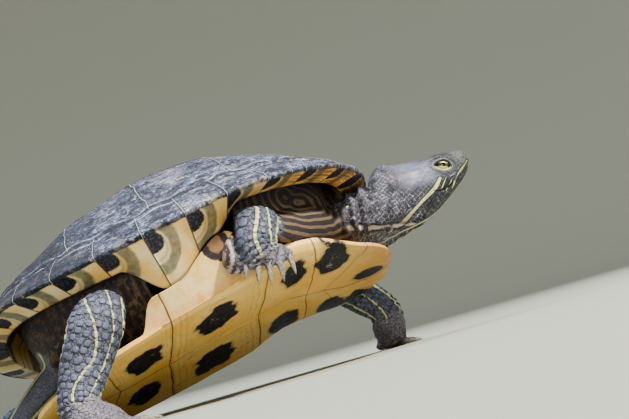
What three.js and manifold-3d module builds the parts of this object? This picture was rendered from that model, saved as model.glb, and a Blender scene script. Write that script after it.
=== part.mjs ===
// A red-eared slider turtle, life size, as a still model: it leans on the left side of its shell with
// its front raised on the left foreleg, and the right foreleg is lifted.
// Millimetres. Shapes are made in the turtle's own frame: +X to the head, +Y to its left, +Z up,
// with the middle of the shell's rim plane at zero. The group then leans it and stands it on the floor.
import * as THREE from 'three';
import { mergeVertices } from 'three/addons/utils/BufferGeometryUtils.js';
import Module from 'manifold-3d';

const wasm = await Module();
wasm.setup();

// ---------- driving dimensions ----------
const shellLength = 250;
const gap = 0.3;                         // clearance between touching pieces
const pose = { roll: 18, pitch: 13, lift: 73.6 };   // degrees; the lift stands the rim plane over the floor
const shell = {
  halfLength: shellLength / 2,
  halfWidth: 0.396 * shellLength,
  sidePower: 0.87,                       // under 1 makes the oval fuller than an ellipse
  rearFlare: 0.01,
  frontDrop: -0.022 * shellLength,
  rearRise: 0.088 * shellLength,
  dome: 0.248 * shellLength,
  domePower: 1.95,
  apexX: 0.03 * shellLength,
  wall: 5,
  gutter: [0.8, 1.6],                    // dip inside the marginal plates, at the sides and at the ends
  gutterAt: 0.87, gutterWidth: 0.05,     // of the way from the apex to the rim
  rimDrop: 2.2,
  lipIn: 16, lipDown: [0.8, 9],            // underside of the marginal plates, its drop at the front and rear
  lipSpan: [0.3, 0.65],
  bridgeIn: 6, bridgeDown: 18,           // what the bridge adds to them, at its rear
  around: 42,
  upperRings: [0.16, 0.34, 0.5, 0.65, 0.78, 0.87, 0.94, 1],
  lipRings: [0, 0.5, 1],
  innerRings: [0.84, 0.66, 0.42, 0.18],
};
const bridgeSpan = [0.34, 0.43, 0.61, 0.69];    // along the shell from the front: starts, full, full, ends
const bridgeSwell = { front: 0.5, from: 0.44, to: 0.58 };   // its share of depth at the front, where it grows
const plastronSize = {
  front: 0.045, length: 0.92,            // of the shell's length
  halfWidth: 0.262 * shellLength,
  sidePower: [0.6, 0.75], blunt: [0.55, 0.92],      // at the rear and the front: the front lobe is rounder
  level: -0.168 * shellLength,
  frontDip: 0.19, dipFrom: 0.3,         // the front lobe sinks by this share of its length, from here on
  edgeLift: 7, liftPower: 14,            // its rim turns up before the bridge, steeply at the edge
  liftSpan: [0.13, 0.25, 0.3, 0.4],      // along the shell: starts, full, full, ends
  wall: 5, edge: 2.2,                    // thickness in the middle and at the rim
  notch: 4, notchWidth: 9, around: 40,
};
const eyeSize = { radius: 4.7, x: 174, y: 8.4, z: -17.6 };
const mouthLine = [[157, -32], [162, -30.6], [176, -27], [196, -21.5]];    // x, z from its corner to the tip

// head and neck: x, top, bottom, half width, and the power of the section, under 1 fuller than an ellipse
const headNeckKeys = [
  [58, -9, -29, 15, 0.9], [80, -9, -33.5, 24, 0.75], [98, -9, -37.5, 31, 0.62],
  [112, -8.8, -39, 31, 0.62], [126.4, -8.8, -39.6, 27.4, 0.7], [129.5, -4.2, -39.7, 25.6, 0.75],
  [133, 0.2, -39.8, 23.8, 0.8], [136.5, 2.1, -40, 22, 0.86], [140.5, 2.6, -40.2, 20.4, 0.9],
  [147, 0.2, -40.4, 18.4, 0.93], [156, -2.8, -39.6, 16.8, 0.93], [165, -4.9, -36.8, 14.8, 0.93],
  [174, -6.5, -33.2, 12.4, 0.93], [182, -8.4, -29.6, 10, 0.93], [188, -10.2, -26.2, 8, 0.93],
  [192, -12, -22.4, 6, 0.93], [193.8, -13.8, -19.8, 3.6, 0.93],
];
const neckEnd = 138;

const rad = THREE.MathUtils.degToRad;
const V = (x, y, z) => new THREE.Vector3(x, y, z);
const smoothstep = (a, b, x) => THREE.MathUtils.smoothstep(x, a, b);

// ---------- the lean, and points given above the floor ----------
const lean = new THREE.Matrix4()
  .makeRotationFromEuler(new THREE.Euler(-rad(pose.roll), -rad(pose.pitch), 0, 'YXZ'))
  .setPosition(0, 0, pose.lift);
const unlean = lean.clone().invert();
const fromFloor = (x, y, z) => V(x, y, z).applyMatrix4(unlean);
const floorDirection = (x, y, z) => V(x, y, z).transformDirection(unlean);

// ---------- closed bodies from rings ----------
// Rings of equal length, joined in order; both ends are closed by a fan to their middle.
function ringBody(rings) {
  const n = rings[0].length;
  const position = [];
  const index = [];
  for (const ring of rings) for (const p of ring) position.push(p.x, p.y, p.z);
  for (const ring of [rings[0], rings.at(-1)]) {
    const middle = ring.reduce((sum, p) => sum.add(p), V(0, 0, 0)).divideScalar(n);
    position.push(middle.x, middle.y, middle.z);
  }
  const firstMiddle = rings.length * n;
  for (let i = 0; i < n; i++) {
    const next = (i + 1) % n;
    for (let k = 0; k + 1 < rings.length; k++) {
      const a = k * n + i, b = k * n + next, c = (k + 1) * n + next, d = (k + 1) * n + i;
      index.push(a, b, c, a, c, d);
    }
    const last = (rings.length - 1) * n;
    index.push(firstMiddle, next, i, firstMiddle + 1, last + i, last + next);
  }
  return toSolid(position, index);
}

// A body whose faces point inwards has a negative volume, and is turned round.
function toSolid(position, index) {
  const corner = (i) => V(position[3 * i], position[3 * i + 1], position[3 * i + 2]);
  let volume = 0;
  for (let i = 0; i < index.length; i += 3) {
    volume += corner(index[i]).dot(corner(index[i + 1]).cross(corner(index[i + 2])));
  }
  if (volume < 0) {
    for (let i = 0; i < index.length; i += 3) [index[i + 1], index[i + 2]] = [index[i + 2], index[i + 1]];
  }
  return new wasm.Manifold(new wasm.Mesh({
    numProp: 3, vertProperties: new Float32Array(position), triVerts: new Uint32Array(index),
  }));
}

function geometrySolid(geometry, matrix) {
  const bare = geometry.clone();
  bare.deleteAttribute('normal');
  bare.deleteAttribute('uv');
  if (matrix) bare.applyMatrix4(matrix);
  const merged = mergeVertices(bare, 1e-4);
  return toSolid([...merged.attributes.position.array], [...merged.index.array]);
}

// Cubic curve through keys [t, value, value ...], as a function of t.
function through(keys) {
  return (t) => {
    let i = 0;
    while (i + 2 < keys.length && t > keys[i + 1][0]) i++;
    const before = keys[Math.max(i - 1, 0)], a = keys[i], b = keys[i + 1];
    const after = keys[Math.min(i + 2, keys.length - 1)];
    const span = b[0] - a[0];
    const u = THREE.MathUtils.clamp((t - a[0]) / span, 0, 1);
    return a.slice(1).map((_, j) => {
      const va = a[j + 1], vb = b[j + 1];
      const ma = span * (vb - before[j + 1]) / (b[0] - before[0]);
      const mb = span * (after[j + 1] - va) / (after[0] - a[0]);
      const u2 = u * u, u3 = u2 * u;
      return (2 * u3 - 3 * u2 + 1) * va + (u3 - 2 * u2 + u) * ma + (3 * u2 - 2 * u3) * vb + (u3 - u2) * mb;
    });
  };
}

// How far along the run each key lies, from 0 to 1, by straight distance.
function stations(keys) {
  const along = [0];
  for (let i = 1; i < keys.length; i++) along.push(along[i - 1] + keys[i].p.distanceTo(keys[i - 1].p));
  return along.map((d) => d / along.at(-1));
}

// Tube of oval section along keys { p, a, b, side }: a is its half width along side, b its half thickness.
function tube(keys, { from = 0, to = 1, steps = 8, sides = 12, grow = 0 } = {}) {
  const along = stations(keys);
  const curve = through(keys.map(({ p, a, b, side }, i) => [
    along[i], ...p.toArray(), a, b, ...side.toArray()]));
  const at = (u) => V(...curve(u).slice(0, 3));
  const rings = [];
  for (let k = 0; k <= steps; k++) {
    const u = THREE.MathUtils.lerp(from, to, k / steps);
    const e = 0.01;
    const ahead = at(Math.min(u + e, 1)).sub(at(Math.max(u - e, 0))).normalize();
    const [a, b] = curve(u).slice(3);
    const side = V(...curve(u).slice(5));
    const across = side.addScaledVector(ahead, -side.dot(ahead)).normalize();
    const over = ahead.clone().cross(across);
    const ring = [];
    for (let i = 0; i < sides; i++) {
      const w = 2 * Math.PI * i / sides;
      ring.push(at(u).addScaledVector(across, (a + grow) * Math.cos(w))
        .addScaledVector(over, (b + grow) * Math.sin(w)));
    }
    rings.push(ring);
  }
  return ringBody(rings);
}

// ---------- shell ----------
const signedPower = (v, p) => Math.sign(v) * Math.abs(v) ** p;
const alongShell = (x) => 0.5 - x / shellLength;       // 0 at the front rim, 1 at the rear
const bridgeAt = (s) => smoothstep(bridgeSpan[0], bridgeSpan[1], s)
  * (1 - smoothstep(bridgeSpan[2], bridgeSpan[3], s));
const bridgeReach = (s) => bridgeAt(s)
  * THREE.MathUtils.lerp(bridgeSwell.front, 1, smoothstep(bridgeSwell.from, bridgeSwell.to, s));

// Rim: a full oval in plan, whose height follows the square of the way to either end.
function rimPoint(t) {
  const c = Math.cos(t);
  return V(shell.halfLength * c,
    shell.halfWidth * signedPower(Math.sin(t), shell.sidePower) * (1 - shell.rearFlare * c),
    shell.frontDrop * Math.max(c, 0) ** 2 + shell.rearRise * Math.max(-c, 0) ** 2);
}

// Upper face: from the apex, r = 0, to the rim, r = 1; the height falls as 1 - r to a power.
function upperPoint(t, r) {
  const rim = rimPoint(t);
  const gutter = THREE.MathUtils.lerp(...shell.gutter, Math.cos(t) ** 2);
  const dip = gutter * Math.exp(-(((r - shell.gutterAt) / shell.gutterWidth) ** 2));
  return V(shell.apexX + (rim.x - shell.apexX) * r, rim.y * r,
    rim.z * r * r + shell.dome * (1 - r ** shell.domePower) - dip);
}

const innerPoint = (t, r) => upperPoint(t, r).add(V(0, 0, -shell.wall));

// Underside of the marginal plates: inwards and down, steeper where the bridge joins them.
function underPoint(t, u) {
  const rim = rimPoint(t);
  const inward = V(-rim.x / shell.halfLength ** 2, -rim.y / shell.halfWidth ** 2, 0).normalize();
  const s = alongShell(rim.x);
  const bridge = bridgeReach(s);
  const drop = THREE.MathUtils.lerp(...shell.lipDown, smoothstep(...shell.lipSpan, s));
  return rim.addScaledVector(inward, 1 + (shell.lipIn + bridge * shell.bridgeIn) * u)
    .add(V(0, 0, -shell.rimDrop * (1 - u) - (drop + bridge * shell.bridgeDown) * u));
}

const loop = (n, pointAt) => Array.from({ length: n }, (_, i) => pointAt(2 * Math.PI * i / n));

function carapace() {
  const rings = [];
  for (const r of shell.upperRings) rings.push(loop(shell.around, (t) => upperPoint(t, r)));
  for (const u of shell.lipRings) rings.push(loop(shell.around, (t) => underPoint(t, u)));
  for (const r of shell.innerRings) rings.push(loop(shell.around, (t) => innerPoint(t, r)));
  return ringBody(rings);
}

// Plastron outline: an oval of low power, with a shallow notch at the tail.
function plastronEdge(t, scale) {
  const c = Math.cos(t);
  const x = shell.halfLength - shellLength * (plastronSize.front + plastronSize.length * (1 - c) / 2);
  const power = THREE.MathUtils.lerp(...plastronSize.sidePower, smoothstep(...plastronSize.blunt, c));
  const y = plastronSize.halfWidth * signedPower(Math.sin(t), power);
  const middleX = shell.halfLength - shellLength * (plastronSize.front + plastronSize.length / 2);
  const notch = c < 0 ? plastronSize.notch * Math.exp(-((y / plastronSize.notchWidth) ** 2)) : 0;
  const px = middleX + (x + notch - middleX) * scale;
  const dip = plastronSize.frontDip * Math.max(0, plastronSize.dipFrom - alongShell(px)) * shellLength;
  const [starts, full, fades, ends] = plastronSize.liftSpan;
  const along = alongShell(px);
  const lift = plastronSize.edgeLift * smoothstep(starts, full, along) * (1 - smoothstep(fades, ends, along));
  return V(px, y * scale, plastronSize.level - dip + lift * scale ** plastronSize.liftPower);
}

// The bridge climbs from the plastron's edge, v = 0, to just under the marginal plates, v = 1;
// elsewhere the same rings round off the plastron's rim. Inside is the distance to the outer face.
function bridgePoint(t, v, inside) {
  const edge = plastronEdge(t, 1);
  const bridge = bridgeAt(alongShell(edge.x));
  const along = THREE.MathUtils.clamp(edge.x / shell.halfLength, -1, 1);
  const rimAngle = Math.acos(along) * Math.sign(edge.y || 1);
  const lip = underPoint(rimAngle, 1);
  const top = V(edge.x, lip.y, lip.z - gap - 0.1).add(V(0, -Math.sign(lip.y) * (0.4 + inside), 0));
  const plain = edge.clone().multiply(V(1 - inside * 0.004, 1 - inside * 0.01, 1))
    .add(V(0, 0, 1 + plastronSize.edge * v));
  const wall = edge.clone().lerp(top, Math.max(v, 0.1)).add(V(0, 0, 0.6 * inside * (1 - v)));
  return plain.lerp(wall, bridge);
}

function plastron() {
  const n = plastronSize.around;
  const rings = [];
  const flat = (scale, rise) => loop(n, (t) => plastronEdge(t, scale).add(V(0, 0, rise)));
  for (const scale of [0.3, 0.62, 0.9, 0.985]) rings.push(flat(scale, 0));
  for (const v of [0, 0.5, 1]) rings.push(loop(n, (t) => bridgePoint(t, v, 0)));
  for (const v of [1, 0.45]) rings.push(loop(n, (t) => bridgePoint(t, v, shell.wall * 0.8)));
  for (const scale of [0.88, 0.6, 0.3]) rings.push(flat(scale, plastronSize.wall));
  return ringBody(rings);
}

// ---------- trunk, filling the shell and set back from its front and rear openings ----------
const trunkSize = {
  around: 24,
  lower: [[0.3, 0.4], [0.52, 0.4], [0.59, 3.6], [0.67, 12.6], [0.77, 25.2]],   // share of the shell's plan, height
  upper: [0.8, 0.62, 0.42, 0.2],         // the same, just under the shell
  brow: [0.7, 3], clearance: 1.2,        // outside this share it stays further off
};

function trunk() {
  const floorOfShell = plastronSize.level + plastronSize.wall + 1;
  const { around, lower, upper, brow, clearance } = trunkSize;
  const rings = [];
  for (const [scale, rise] of lower) {
    rings.push(loop(around, (t) => upperPoint(t, scale).setZ(floorOfShell + rise)));
  }
  for (const r of upper) {
    rings.push(loop(around, (t) => innerPoint(t, r).add(V(0, 0, r > brow[0] ? -brow[1] : -clearance))));
  }
  return ringBody(rings);
}

// ---------- head and neck ----------
function headNeck(from, to, { steps, sides = 22, grow = 0 }) {
  const section = through(headNeckKeys);
  const rings = [];
  for (let k = 0; k <= steps; k++) {
    const x = THREE.MathUtils.lerp(from, to, k / steps);
    const [top, bottom, halfWidth, power] = section(x);
    rings.push(loop(sides, (w) => V(x,
      (halfWidth + grow) * signedPower(Math.cos(w), power),
      (top + bottom) / 2 + ((top - bottom) / 2 + grow) * signedPower(Math.sin(w), power))));
  }
  return ringBody(rings);
}

function eyeBall(sideSign, grow) {
  const place = new THREE.Matrix4().makeTranslation(eyeSize.x, sideSign * eyeSize.y, eyeSize.z);
  return geometrySolid(new THREE.SphereGeometry(eyeSize.radius + grow, 12, 9), place);
}

// Everything under the mouth line, between its corner and the beak's tip.
function underMouth(inset) {
  const beyond = { x: 200, y: 40, z: -60 };       // outside the head
  const outline = mouthLine.map(([x, z], i) => [x + (i === 0 ? inset : 0), z - inset]);
  outline.push([beyond.x, beyond.z], [outline[0][0], beyond.z]);
  return ringBody([-beyond.y, beyond.y].map((y) => outline.map(([x, z]) => V(x, y, z))));
}

// ---------- limbs ----------
// Keys run from inside the trunk to the wrist or ankle: point, half width, half thickness, side.
const key = (p, a, b, side) => ({ p, a, b, side });
const foreSize = {
  toes: 5, claws: 5, width: 22, thickness: 8, toeLength: 11, spread: 40, stance: 0.33, claw: 10,
};
const hindSize = {                       // the outermost toe has no claw
  toes: 5, claws: 4, width: 29, thickness: 9, toeLength: 16, spread: 38, stance: 0.33, claw: 8,
};
const toeKeys = [[0, 3.4, 3.1], [0.5, 3.3, 3], [1, 2.3, 2.1]];    // along the toe, half width, half thickness
const clawKeys = [[0, 1.9, 1.6], [0.35, 1.6, 1.5], [0.7, 1.05, 1], [1, 0.35, 0.3]];
const webThickness = 1.6;                // half of it

const armSideRight = V(0.85, 0.1, -0.45);
const armSideLeft = V(0.9, 0.1, 0.3);
const legSideRight = V(1, 0, 0.2);
const thighSideLeft = V(0.92, 0.38, 0);
const shankSideLeft = V(0.35, 0.93, 0);
const limbs = {
  // lifted, its claws hanging
  fore_right: {
    keys: [key(V(38, -34, -17), 12, 10, armSideRight), key(V(38, -60, -17), 12.5, 9.5, armSideRight),
      key(V(38, -78, -17.5), 12, 8.5, armSideRight), key(V(34, -85.5, -23.5), 11.8, 7.8, armSideRight),
      key(V(28.8, -88.2, -31.5), 11, 7, armSideRight), key(V(27.8, -89, -38), 10.4, 5.6, armSideRight)],
    foot: { ...foreSize, palmEnd: V(28.7, -89.6, -43.8), ahead: V(-0.4, -0.12, -0.9), up: V(0, -1, 0.1),
      width: 25, toeLength: 7.6, spread: 13, stance: 0.42, hook: 0.32, claw: 9 },
  },
  // the prop that carries the raised front
  fore_left: {
    keys: [key(V(68, 36, -16), 12, 10, armSideLeft), key(V(84, 54, -20), 13, 9.5, armSideLeft),
      key(V(100, 66, -30), 13.5, 8.5, armSideLeft), key(V(109, 67, -46), 12.5, 7.5, armSideLeft),
      key(V(114, 64, -62), 10.5, 6.2, armSideLeft)],
    foot: { ...foreSize, palmEnd: fromFloor(130, 52, 2.6), ahead: floorDirection(0.93, 0.3, -0.05),
      up: floorDirection(0.05, 0, 1), hook: 0.14 },
  },
  // stretched down, as this side of the shell is up
  hind_right: {
    keys: [key(V(-60, -32, -16), 15, 12, legSideRight), key(V(-65, -58, -17), 16, 12, legSideRight),
      key(V(-66, -82, -25), 15.5, 11.5, legSideRight), key(fromFloor(-80, -90, 34), 13, 10, legSideRight),
      key(fromFloor(-88, -97, 16), 10.5, 8, legSideRight)],
    foot: { ...hindSize, palmEnd: fromFloor(-72, -112, 3.1), ahead: floorDirection(0.8, -0.6, -0.03),
      up: floorDirection(0.02, 0, 1), hook: 0.14 },
  },
  // folded, lying on the floor behind
  hind_left: {
    keys: [key(V(-60, 32, -16), 15, 12, thighSideLeft), key(V(-67, 54, -16.5), 16, 12, thighSideLeft),
      key(V(-80, 72, -18), 15, 11, thighSideLeft.clone().add(shankSideLeft)),
      key(fromFloor(-104, 82, 20), 12.5, 9.5, shankSideLeft),
      key(fromFloor(-117, 91, 14), 10.5, 8, shankSideLeft)],
    foot: { ...hindSize, palmEnd: fromFloor(-130, 104, 3.1), ahead: floorDirection(-0.62, 0.78, -0.03),
      up: floorDirection(-0.02, 0, 1), hook: 0.14 },
  },
};

// The whole limb as one run of keys: the leg's own, then the palm, and the web between the toes.
for (const limb of Object.values(limbs)) {
  const { foot, keys } = limb;
  const wrist = keys.at(-1);
  foot.side = foot.up.clone().cross(foot.ahead).normalize();
  if (foot.side.dot(wrist.side) < 0) foot.side.negate();
  limb.legKeys = keys.length - 1;
  keys.push(
    key(wrist.p.clone().lerp(foot.palmEnd, 0.55), (wrist.a + foot.width / 2) / 2,
      (wrist.b + foot.thickness * 0.45) / 2, wrist.side.clone().add(foot.side)),
    key(foot.palmEnd, foot.width / 2, foot.thickness * 0.4, foot.side),
    key(foot.palmEnd.clone().addScaledVector(foot.ahead, foot.toeLength * 0.45), foot.width * 0.52,
      webThickness, foot.side),
  );
}

// Toe i, counted from the inner one, starts at the palm's end and fans out; its claw goes on from its
// tip and hooks down.
function toeLine(foot, i) {
  const part = 1 - 2 * i / (foot.toes - 1);
  const angle = rad(foot.spread) * part;
  const ahead = foot.ahead.clone().multiplyScalar(Math.cos(angle))
    .addScaledVector(foot.side, Math.sin(angle));
  const root = foot.palmEnd.clone().addScaledVector(foot.side, part * foot.width * foot.stance)
    .addScaledVector(foot.ahead, -2 - 3 * part * part);
  const tip = root.clone().addScaledVector(ahead, foot.toeLength * (1 - 0.16 * part * part));
  return { root, tip, ahead };
}

// Spans of the limb's run: upper leg to the elbow or knee, then to the wrist or ankle.
const bendKey = 2;                       // the elbow's or knee's key
const trim = 0.0016;                     // of the limb's length, on each side of a joint face
const wristAt = (limb) => stations(limb.keys)[limb.legKeys];
const bendAt = (limb) => stations(limb.keys)[bendKey];
const upperSpan = (limb) => ({ from: 2 * trim, to: bendAt(limb) - trim, steps: 4 });
const lowerSpan = (limb) => ({ from: bendAt(limb) + trim, to: wristAt(limb) - trim, steps: 5 });

function footBody(limb) {
  const { foot } = limb;
  let body = tube(limb.keys, { from: wristAt(limb) + trim, to: 1, steps: 5, sides: 10 });
  for (let i = 0; i < foot.toes; i++) {
    const { root, tip } = toeLine(foot, i);
    const keys = toeKeys.map(([u, a, b]) => key(root.clone().lerp(tip, u), a, b, foot.side));
    body = body.add(tube(keys, { steps: 2, sides: 6 }));
  }
  for (let i = 0; i < foot.claws; i++) body = body.subtract(claw(foot, i, gap));
  return body;
}

function claw(foot, i, grow = 0) {
  const { tip, ahead } = toeLine(foot, i);
  const down = foot.up.clone().multiplyScalar(-foot.hook * foot.claw);
  const at = (u) => tip.clone().addScaledVector(ahead, gap + foot.claw * u).addScaledVector(down, u * u);
  return tube(clawKeys.map(([u, a, b]) => key(at(u), a, b, foot.side)), { steps: 3, sides: 5, grow });
}

// ---------- tail ----------
const tailSide = V(0, 1, 0);
const tailKeys = [key(V(-84, 0, -14), 12, 11, tailSide), key(V(-104, 1, -21), 9.5, 9, tailSide),
  key(V(-122, 4, -28), 6.5, 6.3, tailSide), key(V(-138, 10, -36), 4, 4, tailSide),
  key(V(-151, 18, -39.9), 1.6, 1.6, tailSide)];

// ---------- cut to the floor, and to each other ----------
const blockSize = { width: 2 * shellLength, depth: 60 };
const floorBlock = geometrySolid(new THREE.BoxGeometry(blockSize.width, blockSize.width, blockSize.depth),
  unlean.clone().multiply(new THREE.Matrix4().makeTranslation(0, 0, -blockSize.depth / 2)));
const onFloor = (solid) => solid.subtract(floorBlock);

const finish = {
  carapace: { color: 0x6f7480, roughness: 0.7 },
  plastron: { color: 0xd9b25a, roughness: 0.5 },
  skin: { color: 0x4a4d52, roughness: 0.6 },
  eye: { color: 0xb8b46a, roughness: 0.15 },
  claw: { color: 0xd8d2c4, roughness: 0.4 },
};

const body = new THREE.Group();
body.applyMatrix4(lean);

function addPart(name, solid, kind) {
  const { vertProperties, triVerts } = solid.getMesh();
  const geometry = new THREE.BufferGeometry();
  geometry.setAttribute('position', new THREE.BufferAttribute(vertProperties, 3));
  geometry.setIndex(new THREE.BufferAttribute(triVerts, 1));
  geometry.computeVertexNormals();
  const mesh = new THREE.Mesh(geometry, new THREE.MeshStandardMaterial({ metalness: 0, ...finish[kind] }));
  mesh.name = name;
  body.add(mesh);
}

addPart('carapace', carapace(), 'carapace');
addPart('plastron', onFloor(plastron()), 'plastron');

const cutGap = 1.5 * gap;                // faceted tubes come closer than their corners do
const neckGrain = { steps: 16, sides: 14 };
const tailGrain = { steps: 9, sides: 10 };
let trunkBody = trunk()
  .subtract(headNeck(headNeckKeys[0][0] - gap, neckEnd, { ...neckGrain, grow: cutGap }))
  .subtract(tube(tailKeys, { ...tailGrain, grow: cutGap }));
for (const limb of Object.values(limbs)) {
  trunkBody = trunkBody.subtract(tube(limb.keys, { ...upperSpan(limb), from: 0, grow: cutGap }))
    .subtract(tube(limb.keys, { ...lowerSpan(limb), grow: cutGap }));
}
addPart('trunk', trunkBody, 'skin');

addPart('neck', headNeck(headNeckKeys[0][0], neckEnd - gap / 2, neckGrain), 'skin');
const wholeHead = headNeck(neckEnd + gap / 2, headNeckKeys.at(-1)[0], { steps: 14, sides: 18 });
const sockets = eyeBall(1, gap).add(eyeBall(-1, gap));
addPart('head', wholeHead.subtract(underMouth(0)).subtract(sockets), 'skin');
addPart('jaw', wholeHead.intersect(underMouth(gap)).subtract(sockets), 'skin');
addPart('eye_left', eyeBall(1, 0), 'eye');
addPart('eye_right', eyeBall(-1, 0), 'eye');
addPart('tail', onFloor(tube(tailKeys, tailGrain)), 'skin');

const segmentNames = { fore: ['upper_arm', 'forearm', 'forefoot'], hind: ['thigh', 'shank', 'hindfoot'] };
for (const [limbName, limb] of Object.entries(limbs)) {
  const [pair, side] = limbName.split('_');
  const names = segmentNames[pair];
  addPart(`${names[0]}_${side}`, onFloor(tube(limb.keys, upperSpan(limb))), 'skin');
  const cutter = (span) => tube(limb.keys, { ...span, grow: cutGap });
  const lowerLeg = tube(limb.keys, lowerSpan(limb)).subtract(cutter(upperSpan(limb)));
  addPart(`${names[1]}_${side}`, onFloor(lowerLeg), 'skin');
  addPart(`${names[2]}_${side}`, onFloor(footBody(limb).subtract(cutter(lowerSpan(limb)))), 'skin');
  for (let i = 0; i < limb.foot.claws; i++) {
    addPart(`claw_${pair}_${side}_${i + 1}`, onFloor(claw(limb.foot, i)), 'claw');
  }
}

// ---------- stand the whole at the middle of its footprint ----------
const turtle = new THREE.Group();
turtle.add(body);
turtle.updateMatrixWorld(true);
const bounds = new THREE.Box3();
body.traverse((mesh) => {
  if (!mesh.isMesh) return;
  const moved = mesh.geometry.clone().applyMatrix4(mesh.matrixWorld);
  moved.computeBoundingBox();
  bounds.union(moved.boundingBox);
});
const middle = bounds.getCenter(V(0, 0, 0));
body.position.x -= middle.x;
body.position.y -= middle.y;
body.position.z -= bounds.min.z;
turtle.updateMatrixWorld(true);

export default turtle;
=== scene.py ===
# A life-size slider turtle for a museum case: weathered shell, one skin with scales, eyes and claws,
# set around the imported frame. Shapes are worked out in millimetres in the turtle's own axes
# (x to the head, y to its left, z up, zero in the middle of the shell's rim) and leaned at the end.
import math

import bmesh
import bpy
import numpy as np
from mathutils import Matrix, Vector


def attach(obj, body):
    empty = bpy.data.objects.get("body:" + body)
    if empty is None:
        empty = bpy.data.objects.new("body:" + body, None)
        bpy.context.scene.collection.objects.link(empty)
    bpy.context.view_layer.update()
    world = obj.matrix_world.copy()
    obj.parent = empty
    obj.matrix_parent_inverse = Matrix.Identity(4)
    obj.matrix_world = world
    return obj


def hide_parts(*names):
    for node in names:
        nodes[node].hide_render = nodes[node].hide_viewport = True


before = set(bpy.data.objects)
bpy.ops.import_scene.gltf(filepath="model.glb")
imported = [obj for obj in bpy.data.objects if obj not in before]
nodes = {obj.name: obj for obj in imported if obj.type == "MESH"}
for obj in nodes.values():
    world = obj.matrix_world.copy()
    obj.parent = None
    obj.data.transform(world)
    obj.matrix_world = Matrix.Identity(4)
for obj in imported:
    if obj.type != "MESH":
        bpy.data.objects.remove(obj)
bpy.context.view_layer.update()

# ---- the lean ----
lean = {"roll": 18, "pitch": 13, "eyeX": 174, "eyeY": 8.4, "eyeZ": -17.6}


def turnMatrix(rollDegrees, pitchDegrees):
    # roll about x, then pitch about y
    roll, pitch = math.radians(rollDegrees), math.radians(pitchDegrees)
    aboutX = np.array([[1, 0, 0],
                       [0, math.cos(roll), math.sin(roll)],
                       [0, -math.sin(roll), math.cos(roll)]])
    aboutY = np.array([[math.cos(pitch), 0, -math.sin(pitch)],
                       [0, 1, 0],
                       [math.sin(pitch), 0, math.cos(pitch)]])
    return aboutY @ aboutX


def nodePoints(name):
    # a CAD node's points, in metres
    data = nodes[name].data
    points = np.empty(len(data.vertices) * 3, np.float32)
    data.vertices.foreach_get("co", points)
    return points.reshape(-1, 3).astype(float)


bodyTurn = turnMatrix(lean["roll"], lean["pitch"])
leftEye = np.array([lean["eyeX"], lean["eyeY"], lean["eyeZ"]])
bodyOrigin = nodePoints("eye_left").mean(0) * 1000 - bodyTurn @ leftEye   # millimetres


def toWorld(points):
    # body millimetres, leaned and moved, as metres
    return (points @ bodyTurn.T + bodyOrigin) / 1000


def toBody(points):
    # metres back to body millimetres
    return (points * 1000 - bodyOrigin) @ bodyTurn


floorGap = 0.0001   # metres between the floor and whatever rests on it


def aboveFloor(points):
    # body points, those under the floor raised to just over it
    world = toWorld(points)
    world[..., 2] = np.maximum(world[..., 2], floorGap)
    return toBody(world)


# ---- small mathematics, on whole arrays ----
def smoothStep(low, high, x):
    u = np.clip((x - low) / (high - low), 0, 1)
    return u * u * (3 - 2 * u)


def signedPower(v, power):
    # the size of v to a power, with v's own sign
    return np.sign(v) * np.abs(v) ** power


def bump(x, width):
    # a bell of height 1 around zero
    return np.exp(-(x / width) ** 2)


# scatters the noise's lattice
scatter = {"mix": np.array([73856093, 19349663, 83492791]), "seedStep": 7919, "spread": 1274126177,
           "bits": 0xFFFFF}

def valueNoise(points, seed=0):
    # random numbers on a lattice of whole numbers, blended with smooth steps; from -1 to 1
    cell = np.floor(points).astype(np.int64)
    part = points - cell
    part = part * part * (3 - 2 * part)
    total = np.zeros(len(points))
    for corner in np.ndindex(2, 2, 2):
        at = (cell + corner) @ scatter["mix"] + seed * scatter["seedStep"]
        at = (at ^ (at >> 13)) * scatter["spread"]
        at = (at ^ (at >> 16)) & scatter["bits"]
        weight = np.prod(np.where(corner, part, 1 - part), axis=1)
        total += weight * at / scatter["bits"]
    return 2 * total - 1


def roughNoise(points, octaves=3, seed=0):
    # value noise summed over octaves, each twice as fine and half as strong
    return sum(valueNoise(points * 2 ** k, seed + k) / 2 ** k for k in range(octaves))


# ---- grids and meshes ----
def gridNormals(points, wrapColumns=True):
    # cross product of the two directions of a grid [row, column, xyz]
    along = np.gradient(points, axis=0)
    if wrapColumns:
        padded = np.concatenate([points[:, -1:], points, points[:, :1]], axis=1)
        around = np.gradient(padded, axis=1)[:, 1:-1]
    else:
        around = np.gradient(points, axis=1)
    normal = np.cross(around, along)
    return normal / np.maximum(np.linalg.norm(normal, axis=2, keepdims=True), 1e-9)


def gridQuads(rows, columns, wrap=True, first=0):
    # four corners of each cell, as indices into row * columns + column
    row, column = np.meshgrid(np.arange(rows - 1), np.arange(columns if wrap else columns - 1), indexing="ij")
    following = (column + 1) % columns
    quads = np.stack([row * columns + column, row * columns + following,
                      (row + 1) * columns + following, (row + 1) * columns + column], axis=-1)
    return quads.reshape(-1, 4) + first


def fanTriangles(ring, middle):
    # a ring joined to one middle point
    return np.stack([np.full(len(ring), middle), ring, np.roll(ring, -1)], axis=1)


def closedGrid(points):
    # a tube of rings whose two ends are closed by fans to their middles; returns points and faces
    rows, columns, _ = points.shape
    flat = np.concatenate([points.reshape(-1, 3), points[:1].mean(1), points[-1:].mean(1)])
    start, end = np.arange(columns), np.arange(columns) + (rows - 1) * columns
    faces = [gridQuads(rows, columns), fanTriangles(start[::-1], rows * columns),
             fanTriangles(end, rows * columns + 1)]
    return flat, faces


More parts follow.
